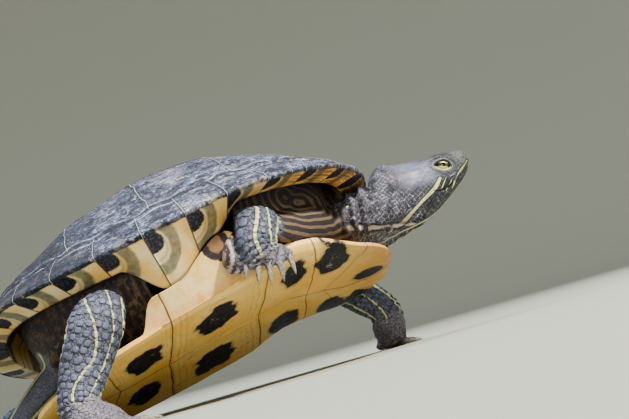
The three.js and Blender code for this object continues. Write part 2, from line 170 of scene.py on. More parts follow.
def meshVolume(points, faces):
    # six times the volume: the sum of a . (b x c)
    total = 0
    for face in faces:
        for k in range(1, face.shape[1] - 1):
            a, b, c = points[face[:, 0]], points[face[:, k]], points[face[:, k + 1]]
            total += np.einsum("ij,ij->i", a, np.cross(b, c)).sum()
    return total


def setPoints(mesh, points):
    # moves a mesh's points, given as rows
    mesh.vertices.foreach_set("co", points.astype(np.float32).ravel())

def newPiece(name, points, faces, attributes=None):
    # points are in body millimetres; faces are turned round if they enclose a negative volume
    if meshVolume(points, faces) < 0:
        faces = [face[:, ::-1] for face in faces]
    mesh = bpy.data.meshes.new(name)
    corners = np.concatenate([face.ravel() for face in faces]).astype(np.int32)
    sizes = np.concatenate([np.full(len(face), face.shape[1]) for face in faces])
    mesh.vertices.add(len(points))
    setPoints(mesh, toWorld(points))
    mesh.loops.add(len(corners))
    mesh.loops.foreach_set("vertex_index", corners)
    mesh.polygons.add(len(sizes))
    mesh.polygons.foreach_set("loop_start", (np.cumsum(sizes) - sizes).astype(np.int32))
    mesh.update(calc_edges=True)
    mesh.validate()
    mesh.shade_smooth()
    for key, values in (attributes or {}).items():
        addAttribute(mesh, key, values)
    piece = bpy.data.objects.new(name, mesh)
    bpy.context.scene.collection.objects.link(piece)
    return piece


def addAttribute(mesh, name, values):
    # one number or three for each vertex
    kind, field = ("FLOAT", "value") if values.ndim == 1 else ("FLOAT_VECTOR", "vector")
    layer = mesh.attributes.new(name, kind, "POINT")
    layer.data.foreach_set(field, values.astype(np.float32).ravel())


def install(piece, material, replaced):
    # dresses a piece that stands for CAD nodes
    piece.data.materials.clear()
    piece.data.materials.append(material)
    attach(piece, "root")
    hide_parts(*replaced)


# ---- shader arithmetic ----
class Wire:
    # an output socket in a material; arithmetic on it adds Math nodes
    def __init__(self, tree, socket=None):
        self.tree = tree
        self.socket = socket

    def node(self, kind, settings=None, sockets=None, out=0):
        # the settings are set first, then the sockets' values or links
        made = self.tree.nodes.new("ShaderNode" + kind)
        for name, value in (settings or {}).items():
            setattr(made, name, value)
        for name, value in (sockets or {}).items():
            if isinstance(value, Wire):
                self.tree.links.new(value.socket, made.inputs[name])
            else:
                made.inputs[name].default_value = value
        return Wire(self.tree, made.outputs[out])

    def math(self, operation, first, second=0.0):
        return self.node("Math", {"operation": operation}, {0: first, 1: second})

    def __add__(self, other):
        return self.math("ADD", self, other)

    def __radd__(self, other):
        return self.math("ADD", other, self)

    def __sub__(self, other):
        return self.math("SUBTRACT", self, other)

    def __rsub__(self, other):
        return self.math("SUBTRACT", other, self)

    def __mul__(self, other):
        return self.math("MULTIPLY", self, other)

    def __rmul__(self, other):
        return self.math("MULTIPLY", other, self)

    def __truediv__(self, other):
        return self.math("DIVIDE", self, other)

    def __pow__(self, other):
        return self.math("POWER", self, other)

    def __abs__(self):
        return self.math("ABSOLUTE", self)

    def low(self, other):
        return self.math("MINIMUM", self, other)

    def high(self, other):
        return self.math("MAXIMUM", self, other)

    def sine(self):
        return self.math("SINE", self)

    def step(self, start, end):
        # 0 before start and 1 past end, with a smooth climb; start may be the larger
        return self.node("MapRange", {"interpolation_type": "SMOOTHSTEP"}, {0: self, 1: start, 2: end})

    def parts(self):
        made = self.node("SeparateXYZ", {}, {0: self}).socket.node
        return [Wire(self.tree, socket) for socket in made.outputs]

    def vector(self, x=0.0, y=0.0, z=0.0):
        return self.node("CombineXYZ", {}, {0: x, 1: y, 2: z})

    def scaled(self, factors):
        return self.node("VectorMath", {"operation": "MULTIPLY"}, {0: self, 1: factors})

    def moved(self, other):
        return self.node("VectorMath", {"operation": "ADD"}, {0: self, 1: other})

    def length(self):
        return self.node("VectorMath", {"operation": "LENGTH"}, {0: self}, out=1)

    def noise(self, scale, detail=3.0, rough=0.55):
        sockets = {"Vector": self, "Scale": scale, "Detail": detail, "Roughness": rough}
        return self.node("TexNoise", {}, sockets)

    def cells(self, scale, feature="DISTANCE_TO_EDGE"):
        # distance to the nearest wall between random cells, or with F1 to the nearest middle
        return self.node("TexVoronoi", {"feature": feature}, {"Vector": self, "Scale": scale})

    def mix(self, first, second):
        # colours, by this wire as the factor
        return self.node("Mix", {"data_type": "RGBA"}, {0: self, 6: first, 7: second}, out=2)

    def attribute(self, name):
        return self.node("Attribute", {"attribute_name": name}, {}, out=1)

    def number(self, name):
        return self.node("Attribute", {"attribute_name": name}, {}, out=2)


def srgb(red, green, blue):
    # a colour given as 0 to 255 on a screen, as the linear one that shaders use
    def linear(v):
        v /= 255
        return v / 12.92 if v <= 0.04045 else ((v + 0.055) / 1.055) ** 2.4
    return (linear(red), linear(green), linear(blue), 1)


def newMaterial(name, build, **uniform):
    # build gets a first wire and the millimetre body coordinates, and returns what feeds the shader;
    # height, in millimetres, goes through a Bump node
    material = bpy.data.materials.new(name)
    material.use_nodes = True
    tree = material.node_tree
    shader = tree.nodes["Principled BSDF"]
    first = Wire(tree)
    world = first.node("TexCoord", {}, {}, out=3)
    turned = Matrix(bodyTurn.T.tolist()).to_euler()
    place = first.node("Mapping", {"vector_type": "POINT"}, {
        "Vector": world, "Scale": (1000, 1000, 1000), "Rotation": turned,
        "Location": -(bodyTurn.T @ bodyOrigin)})
    feeds = build(first, place)
    height = feeds.pop("height", None)
    if height is not None:
        feeds["Normal"] = first.node("Bump", {}, {"Height": height * 0.001, "Strength": 1.0, "Distance": 1.0})
    for socket, value in feeds.items():
        tree.links.new(value.socket, shader.inputs[socket])
    for socket, value in uniform.items():
        shader.inputs[socket.replace("_", " ")].default_value = value
    return material


# ---- camera, floor and light ----
view = {"place": (-178.3, -984.0, -60.5), "azimuth": -0.2669, "rise": 0.0794, "roll": 0.2802, "lens": 96.3}
studio = {"floorRadius": 2.6, "wallRadius": 0.9, "reach": 3.2, "floorColor": srgb(150, 152, 142)}


def addCamera():
    # looks along azimuth and rise, then rolls
    azimuth, rise, roll = view["azimuth"], view["rise"], view["roll"]
    ahead = Vector((-math.sin(azimuth) * math.cos(rise), math.cos(azimuth) * math.cos(rise), math.sin(rise)))
    right = ahead.cross(Vector((0, 0, 1))).normalized()
    up = right.cross(ahead)
    across = math.cos(roll) * right - math.sin(roll) * up
    over = math.sin(roll) * right + math.cos(roll) * up
    camera = bpy.data.objects.new("camera", bpy.data.cameras.new("camera"))
    camera.data.lens = view["lens"]
    camera.data.sensor_width = 36
    camera.data.clip_start = 0.01
    place = (Vector(view["place"]) + Vector(bodyOrigin)) / 1000
    camera.matrix_world = Matrix.Translation(place) @ Matrix((across, over, -ahead)).transposed().to_4x4()
    bpy.context.scene.collection.objects.link(camera)
    bpy.context.scene.camera = camera


def addFloor():
    # flat to a radius, then rising in a quarter circle to a wall all round, so no horizon line shows
    flat, bend = studio["floorRadius"], studio["wallRadius"]
    angle = np.linspace(0, math.pi / 2, 12)
    radius = np.concatenate([[0.5], flat + bend * np.sin(angle), [flat + bend]])
    height = np.concatenate([[0], bend * (1 - np.cos(angle)), [studio["reach"]]])
    turn = np.linspace(0, 2 * math.pi, 64, endpoint=False)
    points = np.stack([radius[:, None] * np.cos(turn), radius[:, None] * np.sin(turn),
                       np.repeat(height[:, None], len(turn), 1)], axis=-1)
    flatPoints = np.concatenate([points.reshape(-1, 3), [[0, 0, 0]]])
    mesh = bpy.data.meshes.new("studioFloor")
    quads = gridQuads(len(radius), len(turn))
    middle = fanTriangles(np.arange(len(turn)), len(flatPoints) - 1)
    mesh.from_pydata(flatPoints.tolist(), [], [*quads[:, ::-1].tolist(), *middle.tolist()])
    mesh.shade_smooth()
    floor = bpy.data.objects.new("studioFloor", mesh)
    bpy.context.scene.collection.objects.link(floor)
    material = bpy.data.materials.new("palePaper")
    material.use_nodes = True
    shader = material.node_tree.nodes["Principled BSDF"]
    shader.inputs["Base Color"].default_value = studio["floorColor"]
    shader.inputs["Roughness"].default_value = 0.9
    mesh.materials.append(material)


lights = [   # name, place, aim, size, watts, colour
    ("keyLight", (0.9, -1.2, 2.0), (0.03, 0, 0.07), 0.24, 134, (1, 0.96, 0.89)),
    ("skyLight", (-0.6, 0.5, 2.2), (0, 0, 0.08), 1.5, 46, (0.80, 0.89, 1)),
    ("fillLight", (-0.5, -2.1, 0.35), (0, 0, 0.07), 1.2, 20, (1, 0.95, 0.86)),
]
worldLight = {"color": (0.80, 0.85, 0.92, 1), "strength": 0.28, "look": "AgX - Medium High Contrast"}


def addLights():
    # round lamps aimed at the turtle, even sky
    for name, place, aim, size, watts, color in lights:
        lamp = bpy.data.lights.new(name, "AREA")
        lamp.shape = "DISK"
        lamp.size = size
        lamp.energy = watts
        lamp.color = color
        holder = bpy.data.objects.new(name, lamp)
        direction = Vector(aim) - Vector(place)
        turned = direction.to_track_quat("-Z", "Y").to_matrix().to_4x4()
        holder.matrix_world = Matrix.Translation(place) @ turned
        bpy.context.scene.collection.objects.link(holder)
    world = bpy.data.worlds.new("studioSky")
    world.use_nodes = True
    world.node_tree.nodes["Background"].inputs["Color"].default_value = worldLight["color"]
    world.node_tree.nodes["Background"].inputs["Strength"].default_value = worldLight["strength"]
    bpy.context.scene.world = world
    bpy.context.scene.view_settings.look = worldLight["look"]


addCamera()
addFloor()
addLights()
print("camera, floor and lights")

# ---- the shell's upper half ----
shell = {
    "length": 250, "halfLength": 125, "halfWidth": 99, "sidePower": 0.87, "rearFlare": 0.01,
    "frontDrop": -5.5, "rearRise": 22, "dome": 62, "domePower": 1.95, "apexX": 7.5,
    "wall": 5, "gutter": (0.8, 1.6), "gutterAt": 0.87, "gutterWidth": 0.05, "rimDrop": 2.2,
    "lipIn": 16, "lipDown": (0.8, 9), "lipSpan": (0.3, 0.65), "bridgeIn": 6, "bridgeDown": 18,
    "bridgeSpan": (0.34, 0.43, 0.61, 0.69), "swellSpan": (0.44, 0.58), "swellFront": 0.5,
    # seams, as shares of the length from the front rim
    "marginalSeams": (0.035, 0.095, 0.185, 0.285, 0.39, 0.495, 0.60, 0.71, 0.81, 0.895, 0.965),
    "nuchalAngle": 0.05, "ringSeam": 0.865,
    "ribInner": (0.33, 0.51, 0.69), "ribOuter": (0.34, 0.55, 0.76),
    "spineSeams": (0.235, 0.42, 0.60, 0.77),
    "spineWidth": ((0, 0.095), (0.06, 0.10), (0.14, 0.085), (0.235, 0.072), (0.33, 0.125), (0.42, 0.078),
                   (0.51, 0.125), (0.60, 0.072), (0.69, 0.115), (0.77, 0.062), (0.93, 0.13), (1, 0.14)),
    "columns": 640, "rows": 100, "noseRows": 5, "lipRows": 17, "innerRows": 9,
    "grooveDepth": 0.55, "grooveWidth": 0.75, "pillow": 0.9, "bite": (0.35, 1.1),
    # mm for one step of a plate's number, and from the apex to the rim
    "marginalSpan": 25, "pleuralSpan": 46, "vertebralSpan": 45, "ringSpan": 112, "underRing": 14,
}
farAway = 99   # a distance that never wins


def rimPoint(t):
    # a full oval in plan, whose height follows the square of the way to either end
    c = np.cos(t)
    side = signedPower(np.sin(t), shell["sidePower"])
    height = shell["frontDrop"] * np.maximum(c, 0) ** 2 + shell["rearRise"] * np.maximum(-c, 0) ** 2
    width = shell["halfWidth"] * side * (1 - shell["rearFlare"] * c)
    return np.stack([shell["halfLength"] * c, width, height], -1)


def upperPoint(t, r):
    # from the apex, r = 0, to the rim, r = 1; the height falls as 1 - r to a power
    rim = rimPoint(t)
    gutter = shell["gutter"][0] + (shell["gutter"][1] - shell["gutter"][0]) * np.cos(t) ** 2
    x = shell["apexX"] + (rim[..., 0] - shell["apexX"]) * r
    z = rim[..., 2] * r * r + shell["dome"] * (1 - r ** shell["domePower"])
    return np.stack([x, rim[..., 1] * r, z - gutter * bump(r - shell["gutterAt"], shell["gutterWidth"])], -1)


def alongShell(x):
    # 0 at the front rim, 1 at the rear
    return 0.5 - x / shell["length"]


def bridgeAt(s):
    # 1 along the bridge, fading to 0 at both ends
    start, full, fade, end = shell["bridgeSpan"]
    return smoothStep(start, full, s) * (1 - smoothStep(fade, end, s))


def bridgeReach(s):
    # the bridge's share, fuller towards the rear
    swell = smoothStep(*shell["swellSpan"], s)
    return bridgeAt(s) * (shell["swellFront"] + (1 - shell["swellFront"]) * swell)


def underPoint(t, u):
    # underside of the marginal plates: inwards and down, steeper where the bridge joins them
    rim = rimPoint(t)
    inward = np.stack([-rim[..., 0] / shell["halfLength"] ** 2, -rim[..., 1] / shell["halfWidth"] ** 2,
                       np.zeros_like(t)], -1)
    inward /= np.linalg.norm(inward, axis=-1, keepdims=True)
    s = alongShell(rim[..., 0])
    bridge = bridgeReach(s)
    frontDown, rearDown = shell["lipDown"]
    drop = frontDown + (rearDown - frontDown) * smoothStep(*shell["lipSpan"], s)
    reach = 1 + (shell["lipIn"] + bridge * shell["bridgeIn"]) * u
    sink = shell["rimDrop"] * (1 - u) + (drop + bridge * shell["bridgeDown"]) * u
    return rim + inward * reach[..., None] - np.stack([0 * sink, 0 * sink, sink], -1)


def shellColumns():
    # angles round the rim and the marginal number at each, whole at seams, crowded towards the seams
    half = (shell["columns"] - 8) // 2
    k = np.linspace(0, 12, half, endpoint=False) + 12 / half / 2
    number = k - 0.5 * np.sin(2 * math.pi * k) / (2 * math.pi)
    edges = [shell["nuchalAngle"], *(math.acos(1 - 2 * s) for s in shell["marginalSeams"]), math.pi]
    angle = np.interp(number, np.arange(13), edges)
    front = np.linspace(0, shell["nuchalAngle"], 4, endpoint=False) + shell["nuchalAngle"] / 8
    frontNumber = -0.5 + 0.5 * front / shell["nuchalAngle"]
    t = np.concatenate([front, angle, 2 * math.pi - angle[::-1], 2 * math.pi - front[::-1]])
    m = np.concatenate([frontNumber, number, number[::-1], frontNumber[::-1]])
    return t, m


def seamNumber(x, seams):
    # 1, 2, 3 ... at the seams and even in between; seams are arrays like x
    number = np.clip((x - seams[0]) / (seams[1] - seams[0]) + 1, 0, 2)
    for k in range(1, len(seams) - 1):
        number = np.where(x > seams[k], k + 1 + (x - seams[k]) / (seams[k + 1] - seams[k]), number)
    return np.minimum(number, len(seams) + 0.9)


def nearWhole(number, first, last):
    # distance to the nearest whole number from first to last
    return np.abs(number - np.clip(np.round(number), first, last))


def scuteFields(points, m, r):
    # signed distances, in millimetres or plate numbers, that are zero on the seams of the plates
    s = alongShell(points[..., 0])
    out = np.abs(points[..., 1]) / shell["length"]
    wander = 0.004 * roughNoise(points.reshape(-1, 3) * 0.09, 2, 5).reshape(s.shape)
    spine = np.interp(s, *np.array(shell["spineWidth"]).T) + wander
    spineEdge = (out - spine) * shell["length"]
    ringEdge = (r - shell["ringSeam"] - 0.010 * np.cos(2 * math.pi * m)) * shell["ringSpan"]
    across = np.clip((out - 0.12) / 0.24, 0, 1)
    ribs = [a + (b - a) * across + wander for a, b in zip(shell["ribInner"], shell["ribOuter"])]
    spines = [a - 0.012 * (1 - (out / 0.075) ** 2) + wander for a in shell["spineSeams"]]
    return ringEdge, spineEdge, seamNumber(s, ribs), seamNumber(s, spines)


def plateDistance(m, ringEdge, spineEdge, rib, spine):
    # millimetres to the nearest seam
    inside = ringEdge < 0
    marginal = np.where(inside, farAway, shell["marginalSpan"] * nearWhole(m, 0, 12))
    pleural = np.where(inside & (spineEdge > 0), shell["pleuralSpan"] * nearWhole(rib, 1, 3), farAway)
    vertebral = np.where(inside & (spineEdge < 0), shell["vertebralSpan"] * nearWhole(spine, 1, 4), farAway)
    edge = np.where(inside, np.abs(spineEdge), farAway)
    return np.minimum.reduce([np.abs(ringEdge), marginal, pleural, vertebral, edge])


def shellRelief(points, distance, m, r, upper):
    # grooves at the seams, pillowed plates, growth ridges along the plates' edges and streaky wrinkles
    flat = points.reshape(-1, 3)
    groove = -shell["grooveDepth"] * bump(distance, shell["grooveWidth"])
    pillow = shell["pillow"] * (1 - np.exp(-distance / 6)) - shell["pillow"]
    ripple = roughNoise(flat * 0.05, 2, 11).reshape(distance.shape)
    growth = 0.14 * np.sin(2 * math.pi * (distance + 2.5 * ripple) / 2.6) * np.exp(-distance / 15)
    streak = np.stack([m * 2.2, r * 55, 0 * m], -1).reshape(-1, 3)
    wrinkle = 0.22 * roughNoise(streak, 3, 21).reshape(distance.shape)
    dents = 0.35 * roughNoise(flat * 0.06, 3, 31).reshape(distance.shape)
    return groove + np.where(upper, pillow + growth * smoothStep(0, 1.5, distance) + wrinkle + dents, 0)


def makeCarapace():
    # one closed sheet: upper side, rounded rim, lip, inside
    t, m = shellColumns()
    columns, rows = shell["columns"], shell["rows"]
    r = np.linspace(0, 1, rows + 1)[1:, None]
    upper = upperPoint(t[None], r)
    lipStart = underPoint(t[None], np.zeros((1, 1)))
    q = (np.arange(1, shell["noseRows"]) / shell["noseRows"])[:, None]
    outward = rimPoint(t) * np.array([1 / shell["halfLength"] ** 2, 1 / shell["halfWidth"] ** 2, 0])
    outward /= np.linalg.norm(outward, axis=-1, keepdims=True)
    nose = upper[-1:] * (1 - q[..., None]) + lipStart * q[..., None] + (
        0.9 * np.sin(math.pi * q))[..., None] * outward
    u = np.linspace(0, 1, shell["lipRows"])[:, None]
    lip = underPoint(t[None], u)
    back = np.linspace(0.86, 0.02, shell["innerRows"])[:, None]
    inner = upperPoint(t[None], back) - np.array([0, 0, shell["wall"]])
    points = np.concatenate([upper, nose, lip, inner])
    place = np.concatenate([r, 1 + 0 * q, 1 + u, 2 + 0 * back]) * np.ones((1, columns))
    number = m[None] * np.ones((len(points), 1))
    ringEdge, spineEdge, rib, spine = scuteFields(points, number, np.minimum(place, 1))
    ringEdge = np.where(place >= 1, shell["underRing"], ringEdge)
    distance = plateDistance(number, ringEdge, spineEdge, rib, spine)
    # nicks at the marginal seams, deeper behind
    frontBite, rearBite = shell["bite"]
    rearShare = smoothStep(0.62, 0.9, alongShell(points[..., 0]))
    atSeam = bump(shell["marginalSpan"] * nearWhole(number, 0, 12), 2.2)
    bite = bump(place - 1, 0.06) * atSeam * (frontBite + rearBite * rearShare)
    normals = gridNormals(points)
    relief = shellRelief(points, distance, number, place, place < 1)
    relief = np.where(place >= 2, 0, relief)
    points = points + normals * relief[..., None] - outward[None] * bite[..., None]
    flat, faces = closedGrid(points)
    ends = np.array([[0, 0, 0], [0, 2, 0]])

    seams = [shell["nuchalAngle"], *(math.acos(1 - 2 * k) for k in shell["marginalSeams"]), math.pi]
    lengths = np.linalg.norm(np.diff(rimPoint(np.array(seams)), axis=0), axis=1)
    plateLength = lengths[np.clip(np.floor(number), 0, 11).astype(int)]
    lipLength = np.linalg.norm(lip[-1] - lip[0], axis=-1)[None] * np.ones((len(points), 1))

    def stacked(*fields):
        return np.concatenate([np.stack(fields, -1).reshape(-1, 3), ends])
    return newPiece("carapaceShell", flat, faces, {
        "shellPlace": stacked(number, place, plateLength),
        "scutePlace": stacked(ringEdge, spineEdge, lipLength),
        "scuteNumber": stacked(rib, spine, 0 * rib)})


hornTones = {
    "slate": srgb(108, 118, 148), "dark": srgb(24, 26, 38), "dust": srgb(206, 212, 228),
    "tan": srgb(168, 150, 142), "seam": srgb(214, 214, 216), "cream": srgb(232, 216, 172),
    "straw": srgb(226, 184, 104), "pale": srgb(238, 232, 220), "amber": srgb(200, 136, 60),
    "blotch": srgb(24, 21, 29), "olive": srgb(92, 94, 82), "brown": srgb(78, 46, 30),
    "gold": srgb(246, 196, 104), "umberShade": srgb(158, 106, 44), "rust": srgb(184, 92, 50),
}


def wholeDistance(number, first, last):
    # the same as shader nodes
    nearest = number.math("ROUND", number).high(first).low(last)
    return abs(number - nearest)


def carapaceHorn(first, place):
    # weathered upper side and yellow underside, mixed at the rim
    tone = hornTones
    number, ring, plateLength = first.attribute("shellPlace").parts()
    ringEdge, spineEdge, lipLength = first.attribute("scutePlace").parts()
    rib, spine, _ = first.attribute("scuteNumber").parts()
    inside = ringEdge.step(0.05, -0.05)
    outOfSpine = spineEdge.step(-0.05, 0.05)
    seamMarginal = wholeDistance(number, 0, 12) * plateLength + inside * farAway
    onPleural, onSpine = inside * outOfSpine, inside * (1 - outOfSpine)
    seamRib = wholeDistance(rib, 1, 3) * shell["pleuralSpan"] + (1 - onPleural) * farAway
    seamSpine = wholeDistance(spine, 1, 4) * shell["vertebralSpan"] + (1 - onSpine) * farAway
    crossing = seamMarginal.low(seamRib).low(seamSpine)
    lengthwise = abs(ringEdge).low(abs(spineEdge) + (1 - inside) * farAway)
    distance = crossing.low(lengthwise)

    # weathered horn above: dark, with dusty scratches along the rim, flakes and cracks, and painted shade
    # over the rear slope
    wave = (place.noise(0.03, 2) - 0.5) * 0.08
    streaks = first.vector(number * 1.5, (ring + wave) * 34, 0.0)
    streak = streaks.noise(1.0, 6, 0.7)
    scratch = first.vector(number * 7.0, (ring + wave) * 150, 4.0).noise(1.0, 3, 0.6)
    broad = place.noise(0.022, 4, 0.6)
    patch = place.moved((31.0, 7.0, 3.0)).noise(0.07, 5, 0.65)
    speck = place.noise(0.6, 4, 0.7)
    # share towards the rear: painted shade falls there, and the dust thins
    rear = (place.parts()[0] * -1).step(10, 90)
    crackle = place.scaled((0.55, 1, 1)).moved(speck * 1.5).cells(0.34).step(0.10, 0.02)
    base = (streak * 0.75 + speck * 0.8 + patch * 0.7 - 1.14).step(-0.13, 0.15)
    color = base.mix(tone["dark"], tone["slate"])
    dusty = (scratch + streak * 0.8 + patch * 0.35 - rear * 0.12).step(1.12, 1.34) * 0.85
    color = dusty.mix(color, tone["dust"])
    color = ((broad * 0.6 + patch * 0.8).step(0.76, 0.92) * 0.5).mix(color, tone["tan"])
    color = ((speck * 0.7 + scratch * 0.5 - 0.02).step(0.7, 0.8) * 0.7).mix(color, tone["dust"])
    crack = first.vector(number * 4.5, (ring + wave) * 70, 2.0).cells(1.0).step(0.06, 0.0)
    crack = crack * patch.step(0.4, 0.6) * 0.7
    color = crack.mix(color, tone["dark"])
    color = (crackle * patch.step(0.42, 0.58) * 0.75).mix(color, tone["dark"])
    chips = place.moved(speck * 2).cells(0.85).step(0.07, 0.02)
    color = (chips * 0.5).mix(color, tone["dark"])
    worn = place.moved((17.0, 5.0, 2.0)).noise(0.035, 3, 0.6)
    color = (worn.step(0.5, 0.62) * patch.step(0.35, 0.6) * 0.6).mix(color, srgb(26, 28, 42))
    color = (worn.step(0.46, 0.36) * streak.step(0.4, 0.6) * 0.5).mix(color, srgb(158, 148, 146))
    mottle = place.moved((3.0, 11.0, 8.0)).noise(0.2, 4, 0.65)
    color = (mottle.step(0.54, 0.64) * speck.step(0.4, 0.6) * 0.55).mix(color, srgb(184, 190, 210))
    flake = place.noise(1.4, 3, 0.7)
    color = ((flake * 0.6 + streak * 0.5).step(0.66, 0.74) * 0.8).mix(color, srgb(216, 220, 232))
    # painted shade: the rear slope, and some patches, darkened to blue-black
    color = ((rear * 0.55 + patch * 0.5 - 0.3).step(0, 0.5) * 0.75).mix(color, srgb(14, 16, 28))
    seamEdge = distance + (speck - 0.5) * 1.2 + (patch - 0.5) * 1.6
    color = (seamEdge.step(1.7, 0.5) * 0.65).mix(color, tone["dark"])
    color = ((crossing + (speck - 0.5) * 0.35).step(0.24, 0.1) * (0.2 + patch * 0.8)).mix(color, tone["seam"])
    ringLine = abs(lengthwise - 2.6 + (patch - 0.5) * 3).step(0.5, 0.15) * patch.step(0.4, 0.55) * 0.5
    color = ringLine.mix(color, tone["dust"])
    upperHeight = streak * 0.5 + scratch * 0.35 + speck * 0.35 - crack * 0.35 \
        - lengthwise.step(0.5, 0.1) * 0.3

    # underside of the marginal plates: a dark spot in the rear outer corner with a grey ring round it
    share = number - number.math("FLOOR", number)
    wobble = place.noise(0.09, 3) - 0.5
    grain = place.noise(0.7, 4) - 0.5
    ahead = (1 - share) * plateLength
    inward = (ring - 1) * lipLength
    size = plateLength * 0.036
    spotReach = first.vector((ahead - 3.0 * size) * 0.92, inward - 5.6 * size, 0.0).length() / size
    spotReach = spotReach + wobble * 2.6 + grain * 1.6
    spot = spotReach.step(7.6, 6.6)
    haloReach = first.vector(ahead - 1.5 * size, (inward - 8.0 * size) * 0.92, 0.0).length() / size
    haloReach = haloReach + wobble * 3.0 + grain * 1.2
    halo = abs(haloReach - 14.6).step(4.4, 2.4) * (0.5 + place.noise(0.3, 4) * 0.6)
    innerHalo = abs(haloReach - 9.4).step(1.3, 0.4) * 0.35
    frontness = place.parts()[0].step(20, 90)
    under = place.noise(0.05, 4).step(0.3, 0.65).mix(tone["cream"], tone["straw"])
    warm = place.noise(0.12, 4).step(0.35, 0.6).mix(srgb(244, 196, 116), srgb(204, 140, 74))
    under = (frontness * 0.85).mix(under, warm)
    under = ((place.noise(0.35, 5) - 0.45).step(0, 0.35) * 0.22).mix(under, tone["pale"])
    under = halo.mix(under, tone["olive"])
    under = innerHalo.mix(under, tone["olive"])
    under = spot.mix(under, grain.step(-0.05, 0.14).mix(tone["blotch"], srgb(66, 66, 84)))
    streaky = first.vector(number * 2.0, ring * 9, 7.0).noise(1.0, 4).step(0.45, 0.6)
    under = (streaky * frontness * 0.7).mix(under, srgb(60, 44, 40))
    under = (crossing.step(0.7, 0.25) * 0.85).mix(under, tone["brown"])
    lower = (inward + wobble * 3.0 + grain * 1.2 - 0.6).step(-0.5, 0.5)
    color = lower.mix(color, under)
    height = upperHeight * (1 - lower) + (place.noise(0.8, 3) * 0.12) * lower - crossing.step(0.6, 0.1) * 0.25
    rough = 0.62 + scratch * 0.22 - lower * 0.28
    return {"Base Color": color, "Roughness": rough, "height": height}


carapace = makeCarapace()
install(carapace, newMaterial("weatheredHorn", carapaceHorn), ["carapace"])
print("carapace", len(carapace.data.polygons))

# ---- the shell's lower half ----
plastronShape = {
    "front": 0.045, "length": 0.92, "halfWidth": 65.5, "sidePower": (0.6, 0.75), "blunt": (0.55, 0.92),
    "level": -42, "frontDip": 0.19, "dipFrom": 0.3, "wall": 5, "edge": 2.2, "notch": 4, "notchWidth": 9,
    "edgeLift": 7, "liftPower": 14, "liftSpan": (0.13, 0.25, 0.3, 0.4),
    "columns": 480, "rows": 72, "bridgeRows": 26, "topRows": 8,
    # the midline wanders: share of the length, sideways share
    "midline": ((0.045, -0.01), (0.10, 0.04), (0.16, 0.05), (0.21, 0.028), (0.30, 0.008), (0.5, 0), (1, 0)),
    # each crossing seam: where it meets the midline, its slope outwards, its curve
    "seams": ((0.213, -0.42, 0.0), (0.256, -0.06, 0.12), (0.385, -0.10, 0.2), (0.628, -0.06, 0.1),
              (0.758, 0.20, -0.1)),
    "gapToLip": 0.4,
    # dark blotches: along, sideways, half length, half width, all as shares of the shell's length
    "blotches": ((0.103, 0.004, 0.036, 0.028), (0.113, 0.150, 0.036, 0.042),
                 (0.207, -0.155, 0.038, 0.066), (0.184, 0.152, 0.034, 0.050),
                 (0.300, -0.146, 0.032, 0.062), (0.308, 0.150, 0.036, 0.070),
                 (0.500, -0.135, 0.052, 0.072), (0.506, 0.138, 0.054, 0.070),
                 (0.690, -0.118, 0.044, 0.062), (0.694, 0.120, 0.042, 0.060),
                 (0.862, -0.072, 0.044, 0.046), (0.858, 0.074, 0.046, 0.044)),
    "groove": 0.4, "grooveWidth": 0.6, "plateSpan": 44,
}


def plastronEdge(t, scale):
    # an oval of low power, rounder in front, with a shallow notch at the tail; the front lobe dips
    shape = plastronShape
    c = np.cos(t)
    x = shell["halfLength"] - shell["length"] * (shape["front"] + shape["length"] * (1 - c) / 2)
    low, high = shape["sidePower"]
    power = low + (high - low) * smoothStep(*shape["blunt"], c)
    y = shape["halfWidth"] * signedPower(np.sin(t), power)
    middleX = shell["halfLength"] - shell["length"] * (shape["front"] + shape["length"] / 2)
    notch = np.where(c < 0, shape["notch"] * bump(y, shape["notchWidth"]), 0)
    px = middleX + (x + notch - middleX) * scale
    dip = shape["frontDip"] * np.maximum(0, shape["dipFrom"] - alongShell(px)) * shell["length"]
    starts, full, fades, ends = shape["liftSpan"]
    lift = shape["edgeLift"] * smoothStep(starts, full, alongShell(px)) \
        * (1 - smoothStep(fades, ends, alongShell(px)))
    return np.stack([px, y * scale, shape["level"] - dip + lift * scale ** shape["liftPower"]], -1)


def bridgePoint(t, v, inside):
    # from the plastron's edge, v = 0, up to just under the marginal plates, v = 1; elsewhere a round rim
    edge = plastronEdge(t, np.ones_like(t * v))
    bridge = bridgeAt(alongShell(edge[..., 0]))[..., None]
    side = np.where(edge[..., 1] < 0, -1, 1)
    lipAngle = np.arccos(np.clip(edge[..., 0] / shell["halfLength"], -1, 1)) * side
    lip = underPoint(lipAngle, np.ones_like(lipAngle))
    gap = plastronShape["gapToLip"]
    top = np.stack([edge[..., 0], lip[..., 1] - side * (gap + inside), lip[..., 2] - gap], -1)
    shrink = np.array([1 - inside * 0.004, 1 - inside * 0.01, 1])
    plain = edge * shrink
    plain[..., 2] += 1 + plastronShape["edge"] * v
    wall = edge + (top - edge) * np.maximum(v, 0.1)[..., None]
    wall[..., 2] += 0.6 * inside * (1 - v)
    return plain + (wall - plain) * bridge


def plastronFields(points):
    # signed distance to the midline, plate number and signed distance to the blotches' outlines
    s, out = alongShell(points[..., 0]), points[..., 1] / shell["length"]
    flat = points.reshape(-1, 3)
    wander = 0.003 * roughNoise(flat * 0.08, 2, 41).reshape(s.shape)
    middle = out - np.interp(s, *np.array(plastronShape["midline"]).T) + wander
    seams = [a + slope * np.abs(middle) + curve * middle ** 2 + wander
             for a, slope, curve in plastronShape["seams"]]
    ragged = 0.22 * roughNoise(flat * 0.16, 3, 43).reshape(s.shape)
    blotch = np.full(s.shape, float(farAway))
    for x, y, halfLength, halfWidth in plastronShape["blotches"]:
        reach = np.hypot((s - x) / halfLength, (out - y) / halfWidth) + ragged - 1
        blotch = np.minimum(blotch, reach * min(halfLength, halfWidth) * shell["length"])
    return middle * shell["length"], seamNumber(s, seams), blotch


